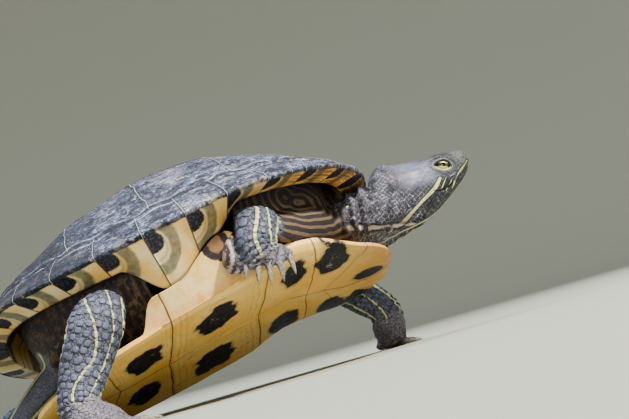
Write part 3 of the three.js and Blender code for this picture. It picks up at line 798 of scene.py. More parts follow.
def makePlastron():
    # one closed sheet: lower face, bridge wall, its inside, upper face
    shape = plastronShape
    t = np.linspace(0, 2 * math.pi, shape["columns"], endpoint=False)[None] + 0.003
    scale = np.linspace(0, 1, shape["rows"] + 1)[1:, None] ** 0.9
    v = np.linspace(0, 1, shape["bridgeRows"])[:, None]
    lower = plastronEdge(t, scale)
    back = np.linspace(0.9, 0.1, shape["topRows"])[:, None]
    upper = plastronEdge(t, back) + np.array([0, 0, shape["wall"]])
    innerWall = bridgePoint(t, v[::-4], shape["wall"] * 0.8)
    points = np.concatenate([lower, bridgePoint(t, v, 0), innerWall, upper])
    climb = np.concatenate([0 * scale, v, v[::-4], 0 * back]) * np.ones_like(t)
    outer = (np.arange(len(points)) < shape["rows"] + shape["bridgeRows"])[:, None]
    # the rim of the lower face is rounded
    ease = np.concatenate([scale, np.ones((len(points) - len(scale), 1))])
    roundedRim = 0.8 * smoothStep(0.955, 1, ease) * (np.arange(len(points)) < len(scale))[:, None]
    points[..., 2] += roundedRim
    middle, plate, blotch = plastronFields(points)
    onBridge = bridgeAt(alongShell(points[..., 0])) * climb
    crossing = shape["plateSpan"] * nearWhole(plate, 1, 5)
    seam = np.minimum(np.abs(middle) + farAway * (onBridge > 0.02), crossing)
    flat = points.reshape(-1, 3)
    rough = 0.3 * roughNoise(flat * 0.05, 3, 47).reshape(seam.shape)
    growth = 0.07 * np.sin(2 * math.pi * (seam + 2 * rough) / 2.8) * np.exp(-seam / 12)
    relief = rough + growth - shape["groove"] * bump(seam, shape["grooveWidth"])
    relief = np.where(outer & (onBridge < 0.97), relief, 0)
    points = points + gridNormals(points) * relief[..., None]
    points = aboveFloor(points)
    flat, faces = closedGrid(points)

    def stacked(*fields):
        return np.concatenate([np.stack(fields, -1).reshape(-1, 3), np.zeros((2, 3)) + 30])
    return newPiece("plastronShell", flat, faces, {
        "plastronPlace": stacked(middle, plate, blotch), "bridgePlace": stacked(onBridge, seam, 0 * seam)})


def plastronHorn(first, place):
    # gold horn with ragged blotches, and a ringed one on the bridge
    tone = hornTones
    middle, plate, blotch = first.attribute("plastronPlace").parts()
    climb, _, _ = first.attribute("bridgePlace").parts()
    x, y, z = place.parts()
    flat = climb.step(0.12, 0.03)
    onBridge = 1 - flat
    seam = (wholeDistance(plate, 1, 5) * plastronShape["plateSpan"]).low(abs(middle) + onBridge * farAway)
    broad = place.noise(0.03, 4, 0.6)
    mottle = place.noise(0.14, 5, 0.65)
    grain = place.noise(0.9, 4, 0.7)
    # the front lobe turns umber: partly the horn's own mottled umber, partly painted shade
    front = x.step(55, 112)
    color = broad.step(0.3, 0.7).mix(tone["gold"], srgb(250, 216, 140))
    color = (front * (0.4 + mottle * 0.5)).mix(color, tone["umberShade"])
    color = (mottle.step(0.55, 0.78) * 0.4).mix(color, tone["amber"])
    lines = ((seam + mottle * 5) * 2.2).sine().step(0.55, 1.0) * seam.step(13, 4) * 0.22
    color = lines.mix(color, tone["brown"])
    color = (onBridge * 0.85).mix(color, mottle.step(0.35, 0.7).mix(srgb(226, 208, 160), tone["straw"]))
    ring = first.vector(x - 11.5, (z + 17) * 0.95, 0.0).length() + (mottle - 0.5) * 4 + (grain - 0.5) * 1.6
    color = (onBridge * ring.step(7.8, 6.6) * 0.85).mix(color, srgb(128, 96, 70))
    color = (onBridge * abs(ring - 6.6).step(2.6, 1.5)).mix(color, srgb(52, 40, 46))
    pinkish = climb.step(0.03, 0.1) * climb.step(0.42, 0.16) * (mottle + 0.1) * 0.7
    color = pinkish.mix(color, srgb(226, 150, 92))
    # painted shade: dark brown crease lines stand for grooves on the bridge that are not modelled
    creaseShade = first.vector(x * 0.16, z * 0.5, y * 0.2).noise(1.0, 3, 0.6)
    creaseShade = (creaseShade * 9).sine().step(0.93, 1.0) * onBridge
    color = (creaseShade * 0.5).mix(color, tone["brown"])
    rust = (mottle + broad * 0.4).step(0.78, 0.95) * 0.3
    color = rust.mix(color, tone["rust"])
    halo = (blotch + mottle * 4).step(4.6, 1.0) * 0.65
    color = halo.mix(color, tone["olive"])
    inked = (blotch + (grain - 0.5) * 2.4).step(0.5, -0.4)
    color = inked.mix(color, tone["blotch"])
    fleck = (grain * 0.6 + mottle * 0.6).step(0.68, 0.78) * inked * blotch.step(-3, -6) * 0.75
    color = fleck.mix(color, tone["pale"])
    color = (seam.step(0.55, 0.2) * 0.85).mix(color, tone["brown"])
    color = ((grain - 0.5).step(0.08, 0.3) * 0.25).mix(color, tone["pale"])
    height = grain * 0.2 + mottle * 0.3 - seam.step(0.6, 0.1) * 0.3
    rough = 0.36 + grain * 0.25 + mottle * 0.1
    return {"Base Color": color, "Roughness": rough, "height": height}


plastron = makePlastron()
install(plastron, newMaterial("yellowHorn", plastronHorn), ["plastron"])
print("plastron", len(plastron.data.polygons))

# ---- flesh: keys, tubes and blocks that the skin is drawn over ----
def fromFloor(x, y, z):
    # a point given above the floor, before the whole is centred
    return (np.array([x, y, z]) - [0, 0, bodyOrigin[2]]) @ bodyTurn


def floorDirection(x, y, z):
    # a world direction in body axes
    way = np.array([x, y, z]) @ bodyTurn
    return way / np.linalg.norm(way)


def unit(v):
    # rows scaled to length 1
    return v / np.maximum(np.linalg.norm(v, axis=-1, keepdims=True), 1e-9)


def through(keys, t):
    # cubic curve through rows of t and values, each slope taken from the neighbouring rows
    at, values = keys[:, 0], keys[:, 1:]
    i = np.clip(np.searchsorted(at, t, side="left") - 1, 0, len(at) - 2)
    before, after = np.maximum(i - 1, 0), np.minimum(i + 2, len(at) - 1)
    span = (at[i + 1] - at[i])[..., None]
    u = np.clip((t - at[i])[..., None] / span, 0, 1)
    slopeStart = span * (values[i + 1] - values[before]) / (at[i + 1] - at[before])[..., None]
    slopeEnd = span * (values[after] - values[i]) / (at[after] - at[i])[..., None]
    return ((2 * u ** 3 - 3 * u ** 2 + 1) * values[i] + (u ** 3 - 2 * u ** 2 + u) * slopeStart
            + (3 * u ** 2 - 2 * u ** 3) * values[i + 1] + (u ** 3 - u ** 2) * slopeEnd)


def limbRun(keys):
    # rows of point, half width, half thickness and side, led by how far along the run each lies, 0 to 1
    keys = np.array([np.concatenate(row) for row in keys])
    along = np.concatenate([[0], np.cumsum(np.linalg.norm(np.diff(keys[:, :3], axis=0), axis=1))])
    return np.column_stack([along / along[-1], keys])


def runFrame(run, u):
    # centre, across and over directions, half width and half thickness along a run
    rows = through(run, u)
    later, sooner = through(run, np.minimum(u + 0.01, 1)), through(run, np.maximum(u - 0.01, 0))
    ahead = unit(later[..., :3] - sooner[..., :3])
    side = rows[..., 5:8]
    across = unit(side - ahead * np.sum(side * ahead, -1, keepdims=True))
    return rows[..., :3], across, np.cross(ahead, across), rows[..., 3], rows[..., 4]


def tubePoints(run, start=0.0, end=1.0, steps=30, sides=28):
    # rings of an oval section carried along a run
    u = np.linspace(start, end, steps + 1)
    centre, across, over, a, b = (part[:, None] for part in runFrame(run, u))
    w = np.linspace(0, 2 * math.pi, sides, endpoint=False)[None]
    return centre + across * (a * np.cos(w))[..., None] + over * (b * np.sin(w))[..., None]


foreFoot = {"toes": 5, "claws": 5, "width": 22, "thickness": 8, "toeLength": 11, "spread": 40,
            "stance": 0.33, "claw": 10, "web": 0.45, "slim": 0.92}
hindFoot = {"toes": 5, "claws": 4, "width": 29, "thickness": 9, "toeLength": 16, "spread": 38,
            "stance": 0.33, "claw": 8, "web": 0.45, "slim": 0.92}
toeKeys = ((0, 3.4, 3.1), (0.3, 3.2, 2.9), (0.5, 3.5, 3.2), (0.75, 2.7, 2.5), (1, 2.3, 2.1))
armRight, armLeft = np.array([0.85, 0.1, -0.45]), np.array([0.9, 0.1, 0.3])
legRight = np.array([1, 0, 0.2])
thighLeft, shankLeft = np.array([0.92, 0.38, 0]), np.array([0.35, 0.93, 0])
limbs = {
    "fore_right": {
        "keys": [[(38, -34, -17), (12, 10), armRight], [(38, -60, -17), (12.5, 9.5), armRight],
                 [(38, -78, -17.5), (12, 8.5), armRight], [(34, -85.5, -23.5), (11.8, 7.8), armRight],
                 [(28.8, -88.2, -31.5), (11, 7), armRight], [(27.8, -89, -38), (10.4, 5.6), armRight]],
        "foot": foreFoot | {"palmEnd": np.array([28.7, -89.6, -43.8]), "ahead": (-0.4, -0.12, -0.9),
                            "up": (0, -1, 0.1), "width": 25, "toeLength": 7.6, "spread": 13, "claw": 9,
                            "stance": 0.42, "hook": 0.32, "web": 0.1, "slim": 0.8}},
    "fore_left": {
        "keys": [[(68, 36, -16), (12, 10), armLeft], [(84, 54, -20), (13, 9.5), armLeft],
                 [(100, 66, -30), (13.5, 8.5), armLeft], [(109, 67, -46), (12.5, 7.5), armLeft],
                 [(114, 64, -62), (10.5, 6.2), armLeft]],
        "foot": foreFoot | {"palmEnd": fromFloor(130, 52, 2.6), "ahead": floorDirection(0.93, 0.3, -0.05),
                            "up": floorDirection(0.05, 0, 1), "hook": 0.14}},
    "hind_right": {
        "keys": [[(-60, -32, -16), (15, 12), legRight], [(-65, -58, -17), (16, 12), legRight],
                 [(-66, -82, -25), (15.5, 11.5), legRight], [fromFloor(-80, -90, 34), (13, 10), legRight],
                 [fromFloor(-88, -97, 16), (10.5, 8), legRight]],
        "foot": hindFoot | {"palmEnd": fromFloor(-72, -112, 3.1), "ahead": floorDirection(0.8, -0.6, -0.03),
                            "up": floorDirection(0.02, 0, 1), "hook": 0.14}},
    "hind_left": {
        "keys": [[(-60, 32, -16), (15, 12), thighLeft], [(-67, 54, -16.5), (16, 12), thighLeft],
                 [(-80, 72, -18), (15, 11), thighLeft + shankLeft],
                 [fromFloor(-104, 82, 20), (12.5, 9.5), shankLeft],
                 [fromFloor(-117, 91, 14), (10.5, 8), shankLeft]],
        "foot": hindFoot | {"palmEnd": fromFloor(-130, 104, 3.1), "ahead": floorDirection(-0.62, 0.78, -0.03),
                            "up": floorDirection(-0.02, 0, 1), "hook": 0.14}},
}
webThickness = 1.6
tailKeys = [[(-84, 0, -14), (12, 11), (0, 1, 0)], [(-104, 1, -21), (9.5, 9), (0, 1, 0)],
            [(-122, 4, -28), (6.5, 6.3), (0, 1, 0)], [(-138, 10, -36), (4, 4), (0, 1, 0)],
            [(-151, 18, -39.9), (1.6, 1.6), (0, 1, 0)]]
for limb in limbs.values():
    foot, keys = limb["foot"], limb["keys"]
    foot["ahead"], foot["up"] = unit(np.array(foot["ahead"])), np.array(foot["up"])
    wristPoint, (wristWidth, wristThickness), wristSide = keys[-1]
    side = unit(np.cross(foot["up"], foot["ahead"]))
    foot["side"] = -side if side @ wristSide < 0 else side
    limb["legKeys"] = len(keys) - 1
    keys.append([0.45 * np.array(wristPoint) + 0.55 * foot["palmEnd"],
                 ((wristWidth + foot["width"] / 2) / 2, (wristThickness + foot["thickness"] * 0.45) / 2),
                 wristSide + foot["side"]])
    keys.append([foot["palmEnd"], (foot["width"] / 2, foot["thickness"] * 0.4), foot["side"]])
    keys.append([foot["palmEnd"] + foot["ahead"] * foot["toeLength"] * foot["web"],
                 (foot["width"] * 0.52, webThickness), foot["side"]])
    limb["run"] = limbRun(keys)
    limb["length"] = np.linalg.norm(np.diff(limb["run"][:, 1:4], axis=0), axis=1).sum()
    limb["wrist"] = limb["run"][limb["legKeys"], 0]


def toeLine(foot, i):
    # toe i, counted from the inner one, starts at the palm's end and fans out
    part = 1 - 2 * i / (foot["toes"] - 1)
    angle = math.radians(foot["spread"]) * part
    ahead = foot["ahead"] * math.cos(angle) + foot["side"] * math.sin(angle)
    root = foot["palmEnd"] + foot["side"] * part * foot["width"] * foot["stance"] \
        + foot["ahead"] * (-2 - 3 * part * part)
    return root, root + ahead * foot["toeLength"] * (1 - 0.16 * part * part), ahead


headNeckKeys = np.array([
    # x, top, bottom, half width, power of the section
    [58, -9, -29, 15, 0.9], [80, -9, -33.5, 24, 0.75], [98, -9, -37.5, 31, 0.62],
    [112, -8.8, -39, 31, 0.62], [126.4, -8.8, -39.6, 27.4, 0.7], [129.5, -4.2, -39.7, 25.6, 0.75],
    [133, 0.2, -39.8, 23.8, 0.8], [136.5, 2.1, -40, 22, 0.86], [140.5, 2.6, -40.2, 20.4, 0.9],
    [147, 0.2, -40.4, 18.4, 0.93], [156, -2.8, -39.6, 16.8, 0.93], [165, -4.9, -36.8, 14.8, 0.93],
    [174, -6.5, -33.2, 12.4, 0.93], [182, -8.4, -29.6, 10, 0.93], [188, -10.2, -26.2, 8, 0.93],
    [192, -12, -22.4, 6, 0.93], [193.8, -13.8, -19.8, 3.6, 0.93]])


def headPoints(steps=110, sides=64):
    # an oval of top, bottom and half width at each x
    x = np.linspace(headNeckKeys[0, 0], headNeckKeys[-1, 0], steps + 1)
    top, bottom, half, power = (part[:, None] for part in through(headNeckKeys, x).T)
    w = np.linspace(0, 2 * math.pi, sides, endpoint=False)[None]
    return np.stack([x[:, None] + 0 * w, half * signedPower(np.cos(w), power),
                     (top + bottom) / 2 + (top - bottom) / 2 * signedPower(np.sin(w), power)], -1)


pockets = {
    "lower": ((0.3, 0.4), (0.52, 0.4), (0.59, 3.6), (0.67, 12.6), (0.77, 25.2)),
    "upper": (0.8, 0.62, 0.42, 0.2), "brow": (0.7, 3), "clearance": 1.2, "around": 96,
    "frontFrom": 30, "rearFrom": -30, "coreRadius": 9,
}


# the fold of skin between the neck's root and each foreleg
foldKeys = (((88, 22, -20), (8, 12)), ((74, 42, -20.5), (9, 13.5)), ((58, 57, -21.5), (7, 12)),
            ((42, 70, -22), (4, 7)))


# loose skin bunched behind the right wrist
cuffKeys = (((24, -70, -20), (5, 8)), ((15, -79, -27), (4.5, 8)), ((12, -84, -34), (4, 7)),
            ((16, -86.5, -40), (3, 4)))


def pocketPoints(front):
    # the trunk's rings, set back inside the shell; all that lies past a plane is pushed onto it
    base = plastronShape["level"] + plastronShape["wall"] + 1
    t = np.linspace(0, 2 * math.pi, pockets["around"], endpoint=False)
    rings = []
    for scale, rise in pockets["lower"]:
        ring = upperPoint(t, np.full_like(t, scale))
        ring[:, 2] = base + rise
        rings.append(ring)
    for scale in pockets["upper"]:
        drop = pockets["brow"][1] if scale > pockets["brow"][0] else pockets["clearance"]
        rings.append(upperPoint(t, np.full_like(t, scale)) - np.array([0, 0, shell["wall"] + drop]))
    points = np.array(rings)
    points[..., 0] = np.maximum(points[..., 0], pockets["frontFrom"]) if front \
        else np.minimum(points[..., 0], pockets["rearFrom"])
    return points


def joinBodies(bodies):
    # several closed bodies as one list of points and triangles
    points, triangles, count = [], [], 0
    for body, faces in bodies:
        if meshVolume(body, faces) < 0:
            faces = [face[:, ::-1] for face in faces]
        for face in faces:
            for k in range(1, face.shape[1] - 1):
                triangles.append(face[:, [0, k, k + 1]] + count)
        points.append(body)
        count += len(body)
    return np.concatenate(points), np.concatenate(triangles)


def meshArrays(mesh):
    # a mesh's points and edges
    points = np.empty(len(mesh.vertices) * 3, np.float32)
    mesh.vertices.foreach_get("co", points)
    edges = np.empty(len(mesh.edges) * 2, np.int32)
    mesh.edges.foreach_get("vertices", edges)
    return points.reshape(-1, 3).astype(float), edges.reshape(-1, 2)


def meshNormals(mesh):
    # a mesh's normals at its points
    normals = np.empty(len(mesh.vertices) * 3, np.float32)
    mesh.vertex_normals.foreach_get("vector", normals)
    return normals.reshape(-1, 3).astype(float)


def relax(points, edges, weight, rounds):
    # each point moves towards the mean of its neighbours by its weight, and then a little back out
    count = len(points)
    degree = np.bincount(edges.ravel(), minlength=count)[:, None]
    for k in range(2 * rounds):
        total = np.stack([np.bincount(edges[:, 0], points[edges[:, 1], axis], count)
                          + np.bincount(edges[:, 1], points[edges[:, 0], axis], count)
                          for axis in range(3)], -1)
        push = 0.5 if k % 2 == 0 else -0.42
        points = points + push * weight[:, None] * (total / np.maximum(degree, 1) - points)
    return points


skinShape = {"voxel": 1.36, "rounds": 12, "fineFrom": 120, "fineLimb": 26, "fineEye": 9, "hidden": 0.66,
             "keep": 0.45}


def limbPlaces(points, limb, samples=240):
    # for each point: how far along the run it lies, the cosine and sine round it, and its distance in radii
    u = np.linspace(0, 1, samples)
    centre, across, over, a, b = runFrame(limb["run"], u)
    single, line = points.astype(np.float32), centre.astype(np.float32)
    nearest = np.argmin(np.sum(line ** 2, 1)[None] - 2 * single @ line.T, axis=1)
    offset = points - centre[nearest]
    x = np.sum(offset * across[nearest], 1) / a[nearest]
    y = np.sum(offset * over[nearest], 1) / b[nearest]
    reach = np.hypot(x, y)
    return u[nearest] * limb["length"], x / np.maximum(reach, 1e-6), y / np.maximum(reach, 1e-6), reach


def buildSkinBase():
    # all blocks of flesh melted together on a voxel grid
    bodies = [closedGrid(headPoints()), closedGrid(tubePoints(limbRun(tailKeys), steps=60)),
              closedGrid(pocketPoints(True)), closedGrid(pocketPoints(False))]
    core = limbRun([[(60, 0, -12), (pockets["coreRadius"],) * 2, (0, 1, 0)],
                    [(-60, 0, -12), (pockets["coreRadius"],) * 2, (0, 1, 0)]])
    bodies.append(closedGrid(tubePoints(core, steps=4)))
    for side in (-1, 1):
        keys = [[np.array(point) * (1, side, 1), size, (0.75, 0.6 * side, 0)] for point, size in foldKeys]
        bodies.append(closedGrid(tubePoints(limbRun(keys), steps=40)))
    cuff = limbRun([[point, size, (0.8, 0, -0.6)] for point, size in cuffKeys])
    bodies.append(closedGrid(tubePoints(cuff, steps=30)))
    for limb in limbs.values():
        bodies.append(closedGrid(tubePoints(limb["run"], steps=80)))
        foot = limb["foot"]
        for i in range(foot["toes"]):
            root, tip, _ = toeLine(foot, i)
            slim = foot["slim"]
            toe = limbRun([[root + (tip - root) * k, (a * slim, b * slim), foot["side"]]
                           for k, a, b in toeKeys])
            bodies.append(closedGrid(tubePoints(toe, steps=14, sides=16)))
            ball = limbRun([[tip - unit(tip - root) * 0.5, (2.2, 2.0), foot["side"]],
                            [tip + unit(tip - root) * 1.0, (1.5, 1.4), foot["side"]]])
            bodies.append(closedGrid(tubePoints(ball, steps=3, sides=16)))
    points, triangles = joinBodies(bodies)
    mesh = bpy.data.meshes.new("fleshBlocks")
    mesh.from_pydata(points.tolist(), [], triangles.tolist())
    blocks = bpy.data.objects.new("fleshBlocks", mesh)
    bpy.context.scene.collection.objects.link(blocks)
    remesh = blocks.modifiers.new("remesh", "REMESH")
    remesh.mode = "VOXEL"
    remesh.voxel_size = skinShape["voxel"]
    remesh.adaptivity = 0
    result = bpy.data.meshes.new_from_object(blocks.evaluated_get(bpy.context.evaluated_depsgraph_get()))
    bpy.data.objects.remove(blocks)
    return result


def refine(mesh, chosen):
    # splits every edge of the faces whose corners are all chosen
    work = bmesh.new()
    work.from_mesh(mesh)
    work.verts.ensure_lookup_table()
    marked = set(np.flatnonzero(chosen).tolist())
    edges = [edge for edge in work.edges if edge.verts[0].index in marked and edge.verts[1].index in marked]
    bmesh.ops.subdivide_edges(work, edges=edges, cuts=1, use_grid_fill=True)
    bmesh.ops.triangulate(work, faces=[face for face in work.faces if len(face.verts) > 4])
    work.to_mesh(mesh)
    work.free()


def nearLimb(points, name, start):
    # points on a limb more than start mm along it
    along, _, _, reach = limbPlaces(points, limbs[name])
    return (along > start) & (reach < 1.9)


def thin(mesh, chosen, ratio):
    # melts the chosen points together, for the flesh that nobody sees inside the shell
    holder = bpy.data.objects.new("thinning", mesh)
    bpy.context.scene.collection.objects.link(holder)
    group = holder.vertex_groups.new(name="inside")
    group.add(np.flatnonzero(chosen).tolist(), 1.0, "REPLACE")
    fewer = holder.modifiers.new("fewer", "DECIMATE")
    fewer.ratio = ratio
    fewer.vertex_group = group.name
    result = bpy.data.meshes.new_from_object(holder.evaluated_get(bpy.context.evaluated_depsgraph_get()))
    bpy.data.objects.remove(holder)
    return result


def lineDistance(points, line):
    # distance to a broken line of x, y, z and half width, less the half width there
    best = np.full(len(points), 99.0)
    for first, last in zip(np.array(line[:-1]), np.array(line[1:])):
        way = last[:3] - first[:3]
        u = np.clip((points - first[:3]) @ way / (way @ way), 0, 1)
        away = np.linalg.norm(points - first[:3] - u[:, None] * way, axis=1)
        best = np.minimum(best, away - first[3] - u * (last[3] - first[3]))
    return best


def layOnSkin(line, points, normals):
    # the line's points moved along the skin's own direction until they lie on it, one every few mm
    rows = np.array(line)
    at = np.concatenate([[0], np.cumsum(np.linalg.norm(np.diff(rows[:, :3], axis=0), axis=1))])
    rows = through(np.column_stack([at, rows]), np.linspace(0, at[-1], int(at[-1] / 3) + 2))
    nearest = nearestPoints(points, rows[:, :3])
    n = normals[nearest]
    rows[:, :3] += n * np.sum((points[nearest] - rows[:, :3]) * n, 1, keepdims=True)
    return rows


def nearestPoints(points, wanted, slabs=400):
    # index of the nearest point for each wanted one, in slabs to spare memory
    found = np.empty(len(wanted), int)
    single = points.astype(np.float32)
    squares = np.sum(single ** 2, axis=1)
    for k in range(0, len(wanted), slabs):
        part = wanted[k:k + slabs].astype(np.float32)
        found[k:k + slabs] = np.argmin(squares[None] - 2 * part @ single.T, axis=1)
    return found


eyePlace = {"centre": (174, 8.4, -17.6), "radius": 4.7, "opening": (173.1, -18.6), "slant": -0.42,
            "half": (4.4, 2.6), "stretch": 1.2, "lidRise": 0.85, "lidEnd": 5.6}
headForm = {
    # the groove between the jaws, in x, z and depth
    "mouth": ((195, 0, -20.2, 0), (189, 0, -23.0, 0), (184.9, 0, -25.3, 0), (175.4, 0, -29.8, 0),
              (167.5, 0, -32, 0), (161, 0, -32, 0), (156.5, 0, -30.4, 0)),
    "mouthDepth": 0.7, "mouthWidth": 0.55, "beak": 0.35, "beakWidth": 3.0,
    "nostril": (192.6, 1.6, -12.9), "nostrilWidth": 0.75, "nostrilDepth": 1.1,
    "earDisc": (154.5, -18.5), "earRadius": 5.6, "earDepth": 0.1,
}
# folds of the neck: line with half widths, depth and softness in mm
neckFolds = (
    (((147, 0, 1.6, 0), (142, -8, 1, 0), (138.3, -13.7, -1.6, 0), (133.8, -20.9, -9.2, 0),
      (130.5, -23.8, -14.9, 0)), 0.9, 0.8),
    (((104.7, -27.2, -31.3, 0), (114.5, -22.2, -36.6, 0), (128.9, -9.3, -39.2, 0), (146, -6, -40, 0)),
     1.4, 0.9),
    (((112, -20, -10, 0), (110.5, -27, -12.6, 0), (108, -29, -20, 0), (103, -27, -31, 0)), 3.0, 1.3),
    (((116.8, -16, -9.8, 0), (118, -26, -13, 0), (114, -29, -20, 0), (109, -27, -31, 0)), 1.8, 1.0),
    (((124, -16, -9.5, 0), (123, -25, -14, 0), (118, -28, -23, 0)), 0.7, 0.9),
    (((104, -20, -10, 0), (103.5, -27, -12.4, 0), (102, -28.6, -20, 0), (97, -26, -30, 0)), 1.3, 1.1),
    (((97, -18, -10, 0), (96, -25, -12, 0), (94, -26.6, -20, 0), (90, -23, -28, 0)), 1.0, 1.0),
)


def onRight(points):
    # the same place on the right side of the body
    return points * np.array([1, 0, 1]) - np.abs(points[:, 1:2]) * np.array([0, 1, 0])


def eyeRing(points):
    # 1 at the edge of the lids' slanted opening, then growing by the mm through ovals round it
    x, z = points[:, 0] - eyePlace["opening"][0], points[:, 2] - eyePlace["opening"][1]
    cosine, sine = math.cos(eyePlace["slant"]), math.sin(eyePlace["slant"])
    along, across = x * cosine + z * sine, z * cosine - x * sine
    slit = np.hypot(along / eyePlace["half"][0], across / eyePlace["half"][1])
    oval = np.hypot(along / eyePlace["stretch"], across) - 1.4
    blend = smoothStep(1.0, 2.4, slit)
    return slit * (1 - blend) + oval * blend


def softMax(a, b, width):
    # the larger of two, rounded where they meet
    h = np.clip(0.5 + (a - b) / (2 * width), 0, 1)
    return b * (1 - h) + a * h + width * h * (1 - h)


def sculptHead(points, normals):
    # mouth line, beak, nostrils and ear disc, then the lids
    right = onRight(points)
    onHead = smoothStep(146, 150, points[:, 0])
    flatPoints = points * np.array([1, 0, 1])
    mouth = lineDistance(flatPoints, headForm["mouth"])
    inMouth = onHead * smoothStep(155, 160, points[:, 0])
    mouthLine = np.array(headForm["mouth"])[::-1]
    mouthHeight = np.interp(points[:, 0], mouthLine[:, 0], mouthLine[:, 2])
    above = points[:, 2] - mouthHeight
    shift = -headForm["mouthDepth"] * bump(mouth, headForm["mouthWidth"]) * inMouth
    overMouth = smoothStep(0, 0.5, above) * (1 - smoothStep(0.5, headForm["beakWidth"], above))
    shift += headForm["beak"] * overMouth * inMouth * smoothStep(162, 172, points[:, 0])
    nostril = np.linalg.norm(right * [1, -1, 1] - headForm["nostril"], axis=1)
    shift -= headForm["nostrilDepth"] * bump(nostril, headForm["nostrilWidth"])
    ear = np.hypot(points[:, 0] - headForm["earDisc"][0], points[:, 2] - headForm["earDisc"][1])
    shift -= headForm["earDepth"] * bump(ear - headForm["earRadius"], 1.1) * onHead
    shift += 0.12 * roughNoise(points / 5, 2, 61) * onHead
    points = points + normals * shift[:, None]
    # lids stand over the eyeball, ringed by fine ridges; the opening falls in behind it
    ex, ey, ez = eyePlace["centre"]
    ring = eyeRing(points)
    away = np.hypot(points[:, 0] - ex, points[:, 2] - ez)
    lidBall = ey + np.sqrt(np.maximum((eyePlace["radius"] + eyePlace["lidRise"]) ** 2 - away ** 2, 0))
    reach = np.abs(points[:, 1])
    onSide = smoothStep(3.0, 5.0, reach) * (away < 12)
    lid = softMax(np.where(away < eyePlace["radius"] + eyePlace["lidRise"], lidBall, -50), reach, 0.8)
    ridges = 0.24 * np.cos((ring - 1.5) * 2 * math.pi / 0.9) \
        * smoothStep(1.3, 1.7, ring) * (1 - smoothStep(4.4, 6.4, ring))
    lid = lid + ridges - 0.5 * bump(ring - eyePlace["lidEnd"] + 1.2, 0.4) \
        - 0.3 * (1 - smoothStep(1.0, 1.35, ring))
    inside = ey + np.sqrt(np.maximum(eyePlace["radius"] ** 2 - away ** 2, 0)) - 1.3
    lid = np.where(ring < 1, np.minimum(lid, inside), lid)
    near = onSide * (1 - smoothStep(8.5, 11, away))
    new = reach * (1 - near) + lid * near
    points[:, 1] = np.sign(points[:, 1]) * new
    return points


def sculptNeck(points, normals):
    # each fold is a groove beside a swelling; slack skin is roughened
    right = onRight(points)
    onNeck = smoothStep(84, 92, points[:, 0]) * (1 - smoothStep(34, 40, np.abs(points[:, 1])))
    wander = 0.8 * np.stack([roughNoise(points / 7, 2, seed) for seed in (71, 72, 73)], -1)
    shift = np.zeros(len(points))
    for line, depth, width in neckFolds:
        away = lineDistance(right + wander, layOnSkin(line, points, normals))
        shift -= depth * bump(away, width) - 0.65 * depth * bump(away - 2.4 * width, 1.2 * width)
    loose = smoothStep(84, 100, points[:, 0]) * (1 - smoothStep(128, 144, points[:, 0]))
    shift += loose * 0.35 * roughNoise(points * [0.3, 0.12, 0.12], 3, 74)
    return points + normals * (shift * onNeck)[:, None]


pocketMarks = {"first": (70, -56, -10.7), "second": (64.2, -57, -6.2), "neckward": (0.8, 0.55, -0.1),
               "period": 4.1}


def pocketRing(points):
    # stretched rings round a spot in the loose skin before each foreleg, drawn out towards the neck
    right = onRight(points)
    offset = right - pocketMarks["first"]
    neckward = unit(np.array(pocketMarks["neckward"]))
    ahead = offset @ neckward
    down = np.linalg.norm(offset - ahead[:, None] * neckward, axis=1)
    stretched = np.where(ahead > 0, ahead * 0.36, ahead * 0.8)
    second = 0.9 * np.linalg.norm((right - pocketMarks["second"]) * (1, 0.5, 1), axis=1)
    return np.minimum(np.hypot(down, stretched), second) + 0.5 * roughNoise(points / 6, 2, 75)


limbStride = 200   # mm, keeps the limbs' places apart
tailLength = 78
limbStripes = {
    # degrees round the limb, 0 at its forward edge and 90 outward, and half width in mm
    "fore": ((98, 0.8), (58, 0.5), (18, 1.2), (200, 0.7), (250, 0.5), (310, 0.8)),
    "hind": ((5, 1.1), (48, 0.5), (88, 0.6), (178, 1.1), (225, 0.5), (300, 0.7)),
}


def skinFields(points):
    # every marking as a distance, and where each point lies on its limb
    count = len(points)
    place, stripe = np.zeros((count, 3)), np.full(count, 9.0)
    share, footShare = np.zeros(count), np.zeros(count)
    best, wristAway = np.full(count, 9.0), np.full(count, 60.0)
    for index, (name, limb) in enumerate(limbs.items()):
        along, cosine, sine, reach = limbPlaces(points, limb)
        if name.endswith("left"):
            sine = -sine
        mine = (reach < best) & (along > 12)
        best = np.where(mine, reach, best)
        start = smoothStep(14, 30, along) if name.startswith("fore") else smoothStep(16, 34, along)
        radius = np.interp(along / limb["length"], limb["run"][:, 0], limb["run"][:, 4:6].mean(1))
        angle = np.arctan2(sine, cosine)
        lines = np.full(count, 9.0)
        for degrees, half in limbStripes[name.split("_")[0]]:
            swing = math.radians(degrees) + 0.1 * np.sin(along / 7 + degrees) - angle
            apart = np.abs(np.arctan2(np.sin(swing), np.cos(swing))) * radius - half
            lines = np.minimum(lines, apart + 3 * smoothStep(1.1, 1.25, reach))
        wrist = limb["wrist"] * limb["length"]
        wide = 0.5 * smoothStep(wrist - 4, wrist + 4, along)
        share = np.where(mine, start * (1 - smoothStep(1.15, 1.35, reach - wide)), share)
        stripe = np.where(mine, lines, stripe)
        wristAway = np.where(mine, along - wrist, wristAway)
        footShare = np.where(mine, smoothStep(wrist - 2, wrist + 6, along), footShare)
        onLimb = np.stack([cosine * radius, sine * radius, along + limbStride * index], -1)
        place = np.where(mine[:, None], onLimb, place)
    _, cosine, sine, reach = limbPlaces(points, {"run": limbRun(tailKeys), "length": tailLength})
    onTail = (points[:, 0] < -92) & (reach < 1.8)
    angle = np.arctan2(sine, cosine)
    tailLines = np.minimum(np.abs(np.abs(angle) - 0.5), np.abs(np.abs(angle) - 2.2)) * 6 - 0.9
    stripe = np.where(onTail, tailLines, stripe)
    return place, stripe, share, footShare, wristAway, onTail.astype(float)


